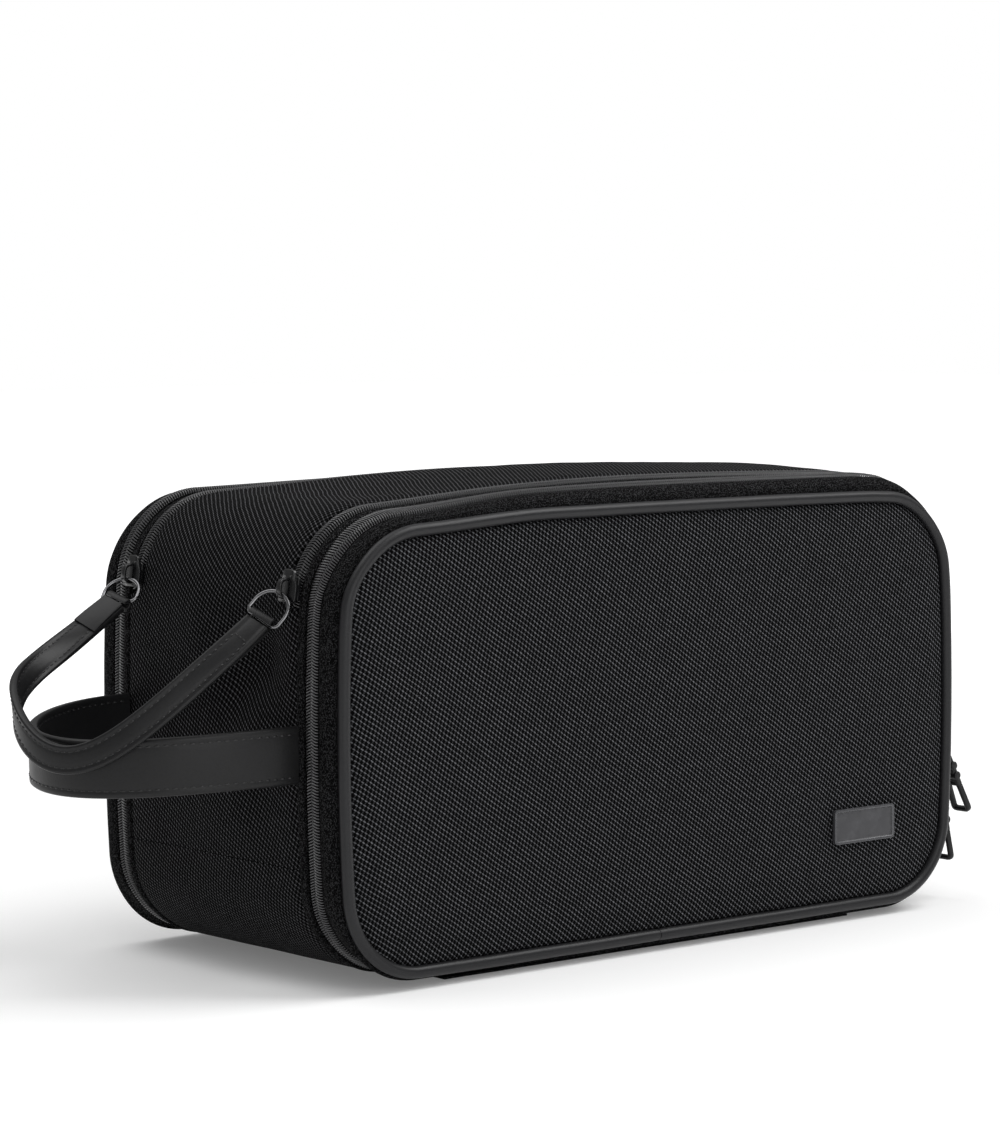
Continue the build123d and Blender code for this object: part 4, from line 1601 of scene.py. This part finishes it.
@dataclass
class BodyBand:
    """The narrow gusset, divider, hinge strip and zip half of one side of the body."""

    side: Side
    gusset_out: float = 47.4
    gusset_in: float = 44.6
    divider_out: float = 46.2
    divider_in: float = 44.6
    hinge_out: float = 56.4
    hinge_in: float = 47.6
    hinge_half: float = 87.0
    hinge_top: float = 0.75

    def gusset(self) -> bpy.types.Object:
        """The narrow cloth strip between the outer and the main zip."""
        sign = self.side.value
        ribs = strip_section(sign * self.gusset_out, sign * self.gusset_in, GUSSET_LINE, crown=0.2)
        made = dress(Band(f"{self.side.word}_gusset_cloth", ribs).build(), BINDING)
        return settle(made, "shell", Slot.BAND, f"{self.side.word}_gusset")

    def divider(self) -> bpy.types.Object:
        """The lined wall between the pocket and the main room, slightly slack."""
        sign = self.side.value
        outline = replace(GUSSET_LINE, grow=GUSSET_LINE.grow - CLOTH_WALL - 0.2)
        faces = []
        for depth in (self.divider_in, self.divider_out):
            rows = []
            for share in (0.0, 0.02, 0.06, 0.12, 0.2, 0.3, 0.42, 0.55, 0.7, 0.85, 1.0):
                row = []
                for x, z in outline.spokes(share, (62.0, 73.6)):
                    slack = 0.35 * ripple(Vector((x, 0, z)), 30.0, 6.0 * sign) * min(1.0, share * 8)
                    row.append(Vector((x, sign * depth + slack, z)))
                rows.append(row)
            faces.append(rows)
        made = sheet(f"{self.side.word}_lined_divider", [*reversed(faces[0]), *faces[1]])
        dress(made, LINING_CLOTH)
        return settle(made, "shell", Slot.LINING, f"{self.side.word}_divider")

    def hinge_strip(self) -> bpy.types.Object:
        """The cloth under the lid that bends as the lid folds down."""
        sign, rows, columns, count = self.side.value, [], 24, 90
        for i in range(count + 1):
            x = self.hinge_half * (2 * i / count - 1)
            upper, lower = [], []
            for k in range(columns + 1):
                y = self.hinge_in + (self.hinge_out - self.hinge_in) * k / columns
                lift = 0.2 + 0.15 * ripple(Vector((x, y, 0)), 12.0, 9.0)
                upper.append(Vector((x, sign * y, self.hinge_top)))
                lower.append(Vector((x, sign * y, max(0.0, lift * 0.4))))
            rows.append(upper + lower[::-1])
        draft = Draft()
        run = [self.hinge_half * 2 * i / count for i in range(count + 1)]
        draft.net(rows, run, [0.6 * k for k in range(len(rows[0]) + 1)])
        made = dress(draft.build(f"{self.side.word}_hinge_cloth", 50.0), BINDING)
        start, end = ((0, sign * y, 0.0004) for y in (0.0515, 0.0562))
        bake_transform(made, "shell", f"{self.side.word}_lid", start=start, end=end)
        return settle(made, "shell", Slot.BAND, f"{self.side.word}_hinge_strip")

    def build(self) -> None:
        """Build this side's strips in order."""
        self.gusset()
        outer_zip_half(self.side, "body", "shell", -self.side.value, 0.5)
        self.divider()
        self.hinge_strip()


@dataclass
class MainZip:
    """The U shaped main zip: a chain along each side of the flap and one across."""

    start_height: float = 117.1
    fold_height: float = 129.6
    cross_height: float = 120.6
    body_reach: float = 44.3
    flap_reach: float = 37.9
    cross_tape: float = 3.05
    centre: Pair = (-101.235, 117.855)
    radius: float = 31.4
    park_angle: float = 8.5
    bail_shift: float = 1.0

    def chain(self, side: Side) -> None:
        """Both halves of the chain on one side, from the left end to the right."""
        low = CLOTH_LINE.place_at_height(self.start_height, -1)
        fold = CLOTH_LINE.place_at_height(self.fold_height, -1)
        far = CLOTH_LINE.place_at_height(self.cross_height + 0.5, 1)
        sign, name = side.value, f"{side.word}_main_zip_"
        for word, node, body, toward, first, last, phase in (
            ("body", "body_half", "shell", sign, low, far + 0.02, 0.0),
            ("parked", "parked_ends", "shell", -sign, low, fold, 0.5),
            ("flap", "flap_half", "top_flap", -sign, fold, far, 0.5),
        ):
            seam_y = sign * MAIN_ZIP_Y
            half = CoilHalf(name + word, seam_y, toward, CLOTH_LINE, first, last, phase=phase)
            half.sew(body, "main_zip_" + node)

    def across(self) -> None:
        """The chain across the right end, one half on the body and one on the flap."""
        outline = replace(CLOTH_LINE, grow=CLOTH_LINE.grow - 1.25)
        (x, z), (nx, nz) = outline.at(outline.place_at_height(self.cross_height, 1))
        out, up, along = Vector((nx, 0, nz)), Vector((-nz, 0, nx)), Vector((0, 1, 0))
        for name, body, side, reach, phase in (
            ("cross_zip_body", "shell", -up, self.body_reach, 0.0),
            ("cross_zip_flap", "top_flap", up, self.flap_reach, 0.5),
        ):
            half = CoilHalf(name, 0.0, 1, outline, 0.0, 1.0)
            count = round(2 * self.flap_reach / half.pitch)
            levels = [self.flap_reach * (2 * (i + phase) / count - 1) for i in range(count)]
            frames = [(Vector((x, y, z)), out, along, side) for y in levels]
            coil = half.coil(name + "_coil", frames)
            section = tape_section(self.cross_tape, 0.4)
            rows = []
            for i in range(41):
                edge = Vector((x, reach * (i / 20 - 1), z))
                rows.append([edge + side * a + out * b for a, b in section])
            draft = Draft()
            draft.net(rows, [reach * i / 20 for i in range(41)], [0.0, 0.3, 3.0, 3.7, 6.7, 7.4])
            tape = dress(draft.build(name + "_tape", soft=True), TAPE_CLOTH)
            settle(coil, body, Slot.COIL)
            settle(tape, body, Slot.BAND)

    def slider_place(self, side: Side) -> Matrix:
        """Where a parked slider stands on the corner arc, its head downwards."""
        angle = math.radians(self.park_angle)
        out = Vector((-math.cos(angle), 0, math.sin(angle)))
        down = Vector((-math.sin(angle), 0, -math.cos(angle)))
        x, z = self.centre
        origin = Vector((x, side.value * MAIN_ZIP_Y, z)) + out * self.radius
        return axes(origin, down, out)

    def build(self) -> None:
        """Build the chains and the two parked sliders."""
        for side in Side:
            self.chain(side)
            name, place = f"main_{side.word}_cast_slider", self.slider_place(side)
            slider = Slider(name, place, bail_shift=self.bail_shift).build()
            settle(slider, "main_sliders", Slot.METAL, f"main_{side.word}_slider")
        self.across()


@dataclass
class OuterSliders:
    """The two sliders of each outer zip, head to head, with their pulls."""

    stands: dict[Level, Pair] = field(
        default_factory=lambda: {Level.UPPER: (57.1, 25.0), Level.LOWER: (43.6, 8.0)}
    )
    pivot_out: float = 2.9

    def build(self) -> None:
        """Build the four sliders and their pulls."""
        line = OUTER_ZIP_LINE
        for side in Side:
            for level, (height, lean) in self.stands.items():
                (x, _), _ = line.at(line.place_at_height(height, 1))
                spot = Vector((x, side.value * OUTER_ZIP_Y, height))
                place = axes(spot, Vector((0, 0, level.value)), Vector((1, 0, 0)))
                word = f"{side.word}_{level.word}"
                slider = Slider(f"{word}_cast_slider", place).build()
                settle(slider, f"{word}_zip_slider", Slot.METAL, f"{word}_slider")
                pivot = spot + Vector((self.pivot_out, 0, 0))
                pull = Pull(f"{word}_moulded_pull", pivot, lean).build()
                settle(pull, f"{word}_zip_pull", Slot.RUBBER, f"{word}_pull")


@dataclass
class WristStrap:
    """The stitched wrist strap, its folded ends and the wire rings that hold it."""

    width: float = 8.6
    thickness: float = 2.4
    bulge: float = 57.6
    sag: float = 38.5
    sway: float = 6.3
    ripple: float = 2.2
    end: tuple[float, float] = (-140.713, 116.052)
    front_pull: Triple = (-1.6, 2.0, -3.05)
    rear_pull: Triple = (-0.9, -3.5, -2.35)
    front_twist: float = 52.0
    rear_twist: float = 66.0
    ring_wire: float = 1.2
    ring_width: float = 11.7
    gap: float = 0.3
    fold_back: float = 17.0
    stitch_pitch: float = 2.3

    def point(self, turn: float) -> Vector:
        """The strap's middle at an angle from front, -90 degrees, to rear."""
        x, z = self.end
        lift = self.sway * math.sin(2 * turn) + self.ripple * math.sin(4 * turn)
        c, s = math.cos(turn), math.sin(turn)
        tidy = Vector((x - self.bulge * c, MAIN_ZIP_Y * s, z - self.sag * c + lift))
        front, rear = (((1 + sign * s) / 2) ** 4 for sign in (-1, 1))
        return tidy + Vector(self.front_pull) * front + Vector(self.rear_pull) * rear

    def station(self, turn: float) -> Matrix:
        """The place across the strap: X over its width, Y out of its outer face."""
        along = (self.point(turn + 0.01) - self.point(turn - 0.01)).normalized()
        share = abs(2 * turn / math.pi)
        most, power = (self.front_twist, 2.0) if turn < 0 else (self.rear_twist, 1.3)
        twist = -math.radians(most * share**power)
        edge = Vector((0, math.sin(twist), -math.cos(twist)))
        edge = (edge - along * edge.dot(along)).normalized()
        return axes(self.point(turn), edge, along)

    def path(self) -> list[Matrix]:
        """Places along the strap, closer together near its ends."""
        count = 120
        return [self.station(math.pi * (i / count - 0.5)) for i in range(count + 1)]

    def clear(self, apart: float) -> list[Matrix]:
        """Places along the strap that are a distance away from both its ends."""
        ends = [self.point(side.value * math.pi / 2) for side in Side]
        return [m for m in self.path() if min((m.translation - e).length for e in ends) > apart]

    def run(self) -> bpy.types.Object:
        """The main run from just behind one ring to the other, with burnished edges."""
        profile = (
            (0.0, 0.0),
            (0.05, 0.62),
            (0.4, 1.0),
            (0.95, 0.99),
            (1.5, 0.9),
            (1.9, 0.84),
            (2.4, 0.93),
            (3.225, 1.0),
        )
        draft = Draft()
        draft.tube(self.clear(1.4), skin_section(self.width / 2, self.thickness / 2, profile))
        return draft.build("run", 60.0)

    def fold(self, side: Side) -> bpy.types.Object:
        """The layer that goes round the ring's wire and comes back inside."""
        near = self.station(side.value * math.pi / 2)
        wide, out, forward = near.to_3x3().transposed()
        along = forward * -side.value
        radius = self.ring_wire / 2 + self.gap + self.thickness / 4
        path = []
        for k in range(15):
            angle = math.radians(-118 + 236 * k / 14)
            ray = -along * math.cos(angle) + out * math.sin(angle)
            ahead = along * math.sin(angle) + out * math.cos(angle)
            path.append(axes(near.translation + ray * radius, wide, ahead))
        draft = Draft()
        draft.tube(path, round_section(self.width, self.thickness / 2, 0.4, 3))
        return draft.build("fold", 60.0)

    def returned_layer(self, side: Side) -> bpy.types.Object:
        """The folded back end that lies on the strap's inner face."""
        places, run = [], 0.0
        ordered = self.path() if side is Side.FRONT else list(reversed(self.path()))
        for a, b in zip(ordered, ordered[1:]):
            run += (b.translation - a.translation).length
            if 1.6 < run < self.fold_back:
                places.append(b @ Matrix.Translation((0, -self.thickness / 2 - 0.35, 0)))
        rows = []
        section = round_section(self.width - 0.3, 1.1, 0.45, 3)
        for i, m in enumerate(reversed(places)):
            thin = min(1.0, 0.55 + 0.2 * i)
            rows.insert(0, [m @ Vector((x, y * thin + (1 - thin) * 0.4, 0)) for x, y in section])
        draft = Draft()
        draft.net(rows, range(len(rows)), [k * 0.5 for k in range(len(section) + 1)])
        return draft.build("returned", 60.0)

    def stitches(self) -> bpy.types.Object:
        """Both long rows of stitches on each face, and the row across each end."""
        draft = Draft()
        path = self.clear(8.0)
        row, face = self.width / 2 - 1.9, self.thickness / 2 * 0.84 + 0.05
        for offset in (-row, row):
            for level in (face, -face):
                stitch_row(draft, path, offset, level, self.stitch_pitch, 1.55)
        for end in (path[0], path[-1]):
            for offset in (-1.5, 0.0, 1.5):
                middle = end @ Vector((offset, self.thickness / 2 + 0.02, 0))
                add_stitch(draft, middle, *end.to_3x3().transposed(), 1.3)
        return dress(draft.build("strap_stitching", 60.0), THREAD)

    def ring(self, side: Side, hung: Vector) -> bpy.types.Object:
        """A D of bent wire: its bar in the strap's fold, its arch in the slider's bail."""
        end = self.station(side.value * math.pi / 2)
        hang = end.translation - hung
        reach, half, bend = hang.length, self.ring_width / 2, 1.8
        bar = end.to_3x3() @ Vector((1, 0, 0))
        bar -= hang * bar.dot(hang) / reach**2
        place = axes(hung, hang, hang.cross(bar))
        turns = [math.radians(90 - 180 * k / 24) for k in range(25)]
        arch = [(half - half * math.cos(t), half * math.sin(t)) for t in turns]
        turns = [math.radians(15 * k) for k in range(7)]
        corner = [(bend * math.sin(t), bend - bend * math.cos(t)) for t in turns]
        corner = [(reach - bend + x, y - half) for x, y in corner]
        line = [*arch, *corner, *((x, -y) for x, y in reversed(corner))]
        spots = [Vector((x, y, 0)) for x, y in line]
        path = [place @ m for m in bar_path(spots, Vector((0, 0, 1)), loop=True)]
        draft = Draft()
        draft.tube(path, circle_section(self.ring_wire / 2, 14), loop=True)
        made = dress(draft.build(f"{side.word}_wire_ring", 60.0), RING_METAL)
        return settle(made, "strap", Slot.METAL, f"{side.word}_ring")

    def build(self, hung: dict[Side, Vector]) -> None:
        """Build the rings, the strap and its stitching.

        Args:
            hung: Where each ring's wire lies in its slider's bail.
        """
        for side in Side:
            self.ring(side, hung[side])
        parts = [self.run(), *map(self.fold, Side), *map(self.returned_layer, Side)]
        strap = dress(join("stitched_wrist_strap", parts), STRAP_SKIN)
        settle(strap, "strap", Slot.STRAP, "wrist_strap")
        settle(self.stitches(), "strap", Slot.STRAP)


@dataclass
class SideHandle:
    """The wide stitched handle sewn into both seams of the left end."""

    low: float = 62.1
    height: float = 17.5
    thickness: float = 2.8
    bulge: float = 58.5
    half_span: float = 46.0
    root_x: float = -133.92
    stitch_inset: float = 2.3
    stitch_pitch: float = 2.6

    def path(self) -> list[Matrix]:
        """Places along the handle: X up its width, Y out of its outer face."""
        made, count = [], 110
        middle = self.low + self.height / 2
        a, b = self.bulge - self.thickness / 2, self.half_span - self.thickness / 2
        for i in range(count + 1):
            turn = math.pi * (i / count - 0.5)
            share = math.sin(turn)
            sag = 1.4 * share + 3.6 * share**2 - 1.0
            spot = Vector((self.root_x - a * math.cos(turn), b * share, middle + sag))
            ahead = Vector((a * math.sin(turn), b * math.cos(turn), 0))
            made.append(axes(spot, Vector((0, 0, 1)), ahead))
        return made

    def build(self) -> None:
        """Build the handle and its stitching."""
        half, thick = self.height / 2, self.thickness / 2
        profile = (
            (0.0, 0.0),
            (0.08, 0.55),
            (0.5, 0.95),
            (1.3, 1.0),
            (1.9, 0.93),
            (2.3, 0.88),
            (2.8, 0.94),
            (4.2, 1.0),
            (7.0, 1.04),
        )
        draft, rows, path = Draft(), Draft(), self.path()
        draft.tube(path, skin_section(half, thick, profile))
        handle = dress(draft.build("stitched_side_handle", 60.0), STRAP_SKIN)
        settle(handle, "shell", Slot.STRAP, "side_handle")
        row, face = half - self.stitch_inset, thick * 0.88 + 0.06
        for offset in (-row, row):
            for level in (face, -face):
                stitch_row(rows, path[1:-1], offset, level, self.stitch_pitch, 1.7)
        settle(dress(rows.build("handle_stitching", 60.0), THREAD), "shell", Slot.STRAP)


@dataclass
class NamePlate:
    """The bare metal name plate with a raised, bevelled rim."""

    centre: Pair = (87.0, 31.9)
    size: Pair = (28.0, 11.6)
    thickness: float = 1.4
    rim: float = 1.1
    recess: float = 0.5
    back_y: float = -63.35

    def build(self) -> None:
        """Build the plate, its rim and its sunken field."""
        x, z = self.centre
        half_x, half_z = self.size[0] / 2, self.size[1] / 2
        middle = (x, self.back_y - self.thickness / 2, z)
        made = box((self.size[0], self.thickness, self.size[1]), middle)
        corner = Vector((half_x, half_z))
        pick(
            made,
            "EDGE",
            lambda e: (Vector((abs(e.x - x), abs(e.z - z))) - corner).length < 0.01,
        )
        bpy.ops.mesh.bevel(offset=1.4, segments=5, affect="EDGES")
        leave_edit()
        front = self.back_y - self.thickness
        pick(made, "FACE", lambda f: f.y < front + 0.01)
        bpy.ops.mesh.inset(thickness=self.rim - 0.35)
        bpy.ops.mesh.inset(thickness=0.35, depth=-self.recess)
        leave_edit()
        soften(made, 0.13, 2, 30)
        made.name = made.data.name = "bare_name_plate"
        place_mesh(made, Matrix.Identity(4))
        smooth_by_angle(made, 30.0)
        dress(made, PLATE_METAL)
        made.data.materials.append(PLATE_RIM.material())
        for face in made.data.polygons:
            middle = face.center / MM
            off = max(abs(middle.x - x) - half_x, abs(middle.z - z) - half_z)
            edge = middle.y < front + 0.12 and off >= -self.rim and face.normal.y > -0.97
            face.material_index = 1 if edge else 0
            face.use_smooth = face.area < 2e-5
        settle(made, "front_lid", Slot.PLATE, "name_plate")


@dataclass
class Studio:
    """The floor, the soft lamps, the white surroundings and the camera."""

    camera_at: Triple = (-0.782, -0.9185, 0.2090)
    yaw: float = 39.79
    pitch: float = 4.26
    roll: float = -0.34
    lens: float = 116.2
    sensor: float = 36.0
    floor_half: float = 6.0

    def camera(self) -> None:
        """Set the camera a little above the bag, to the left of its front."""
        yaw, pitch, roll = (math.radians(a) for a in (self.yaw, self.pitch, self.roll))
        level = Vector((math.sin(yaw), math.cos(yaw), 0)) * math.cos(pitch)
        ahead = level - Vector((0, 0, math.sin(pitch)))
        right = Vector((math.cos(yaw), -math.sin(yaw), 0))
        up = right.cross(ahead)
        r = right * math.cos(roll) + up * math.sin(roll)
        u = up * math.cos(roll) - right * math.sin(roll)
        data = bpy.data.cameras.new("front_left_view")
        data.sensor_fit = "VERTICAL"
        data.sensor_height = self.sensor
        data.lens = self.lens
        data.clip_start, data.clip_end = 0.05, 50.0
        made = bpy.data.objects.new("front_left_view", data)
        bpy.context.scene.collection.objects.link(made)
        turned = Matrix((r, u, -ahead)).transposed().to_4x4()
        made.matrix_world = Matrix.Translation(self.camera_at) @ turned
        bpy.context.scene.camera = made

    def lamp(self, name: str, at: Triple, size: float, power: float) -> None:
        """A square soft lamp aimed at the bag."""
        data = bpy.data.lights.new(name, "AREA")
        data.shape = "SQUARE"
        data.size = size
        data.energy = power
        made = bpy.data.objects.new(name, data)
        bpy.context.scene.collection.objects.link(made)
        made.location = at
        aim = Vector((0, 0, 0.07)) - Vector(at)
        made.rotation_euler = aim.to_track_quat("-Z", "Y").to_euler()

    def floor(self) -> None:
        """A pale floor that shows white to the camera and keeps the bag's shadow."""
        bpy.ops.object.select_all(action="DESELECT")
        bpy.ops.mesh.primitive_grid_add(
            x_subdivisions=8,
            y_subdivisions=8,
            size=2 * self.floor_half,
            location=(0, 0, -0.0003),
        )
        made = bpy.context.object
        made.name = "studio_floor"
        bpy.ops.object.transform_apply(location=True, rotation=True, scale=True)
        paper = bpy.data.materials.new("floor_paper")
        paper.use_nodes = True
        board = Board(paper.node_tree)
        shader = paper.node_tree.nodes["Principled BSDF"]
        shader.inputs["Base Color"].default_value = (0.93, 0.93, 0.93, 1)
        shader.inputs["Roughness"].default_value = 0.9
        shader.inputs["Specular IOR Level"].default_value = 0.1
        far = board.spread(board.vector("LENGTH", board.space()), 0.45, 1.0)
        light = board.add("LightPath").outputs
        seen = board.plus(light["Is Camera Ray"], light["Is Glossy Ray"])
        glow = board.times(seen, board.maths("MULTIPLY_ADD", far, 0.7, 0.14))
        shader.inputs["Emission Color"].default_value = (1, 1, 1, 1)
        board.feed(shader.inputs["Emission Strength"], glow)
        made.data.materials.append(paper)

    def surroundings(self) -> None:
        """A dim even light from all round, seen by the camera as white."""
        world = bpy.data.worlds.new("studio")
        world.use_nodes = True
        bpy.context.scene.world = world
        board = Board(world.node_tree)
        light = board.add("LightPath").outputs
        seen = board.maths("MAXIMUM", light["Is Camera Ray"], light["Is Transmission Ray"])
        shown = world.node_tree.nodes["Background"]
        shown.inputs["Color"].default_value = (1, 1, 1, 1)
        board.feed(shown.inputs["Strength"], board.spread(seen, 0.0, 1.0, 0.32, 1.0, smooth=False))

    def build(self) -> None:
        """Set the camera, the floor, the lamps and the surroundings."""
        self.camera()
        self.floor()
        self.lamp("key_lamp", (0.75, -0.55, 1.35), 1.1, 17.0)
        self.lamp("front_lamp", (-0.55, -1.6, 0.75), 1.2, 9.0)
        self.lamp("top_lamp", (-0.35, 0.45, 1.5), 1.2, 9.0)
        self.surroundings()
        bpy.context.scene.view_settings.view_transform = "Standard"


def main() -> None:
    """Build the studio and the bag's sub-assemblies in order."""
    logging.basicConfig(level=logging.INFO, format="%(message)s")
    Studio().build()
    for side in Side:
        PaddedLid(side).build()
        BodyBand(side).build()
    CentreCloth().build()
    zip_ = MainZip()
    zip_.build()
    OuterSliders().build()
    hung = {side: zip_.slider_place(side) @ Vector((2.7, 0, 3.3)) for side in Side}
    WristStrap().build(hung)
    SideHandle().build()
    NamePlate().build()
    bpy.context.view_layer.update()


if __name__ == "__main__":
    main()
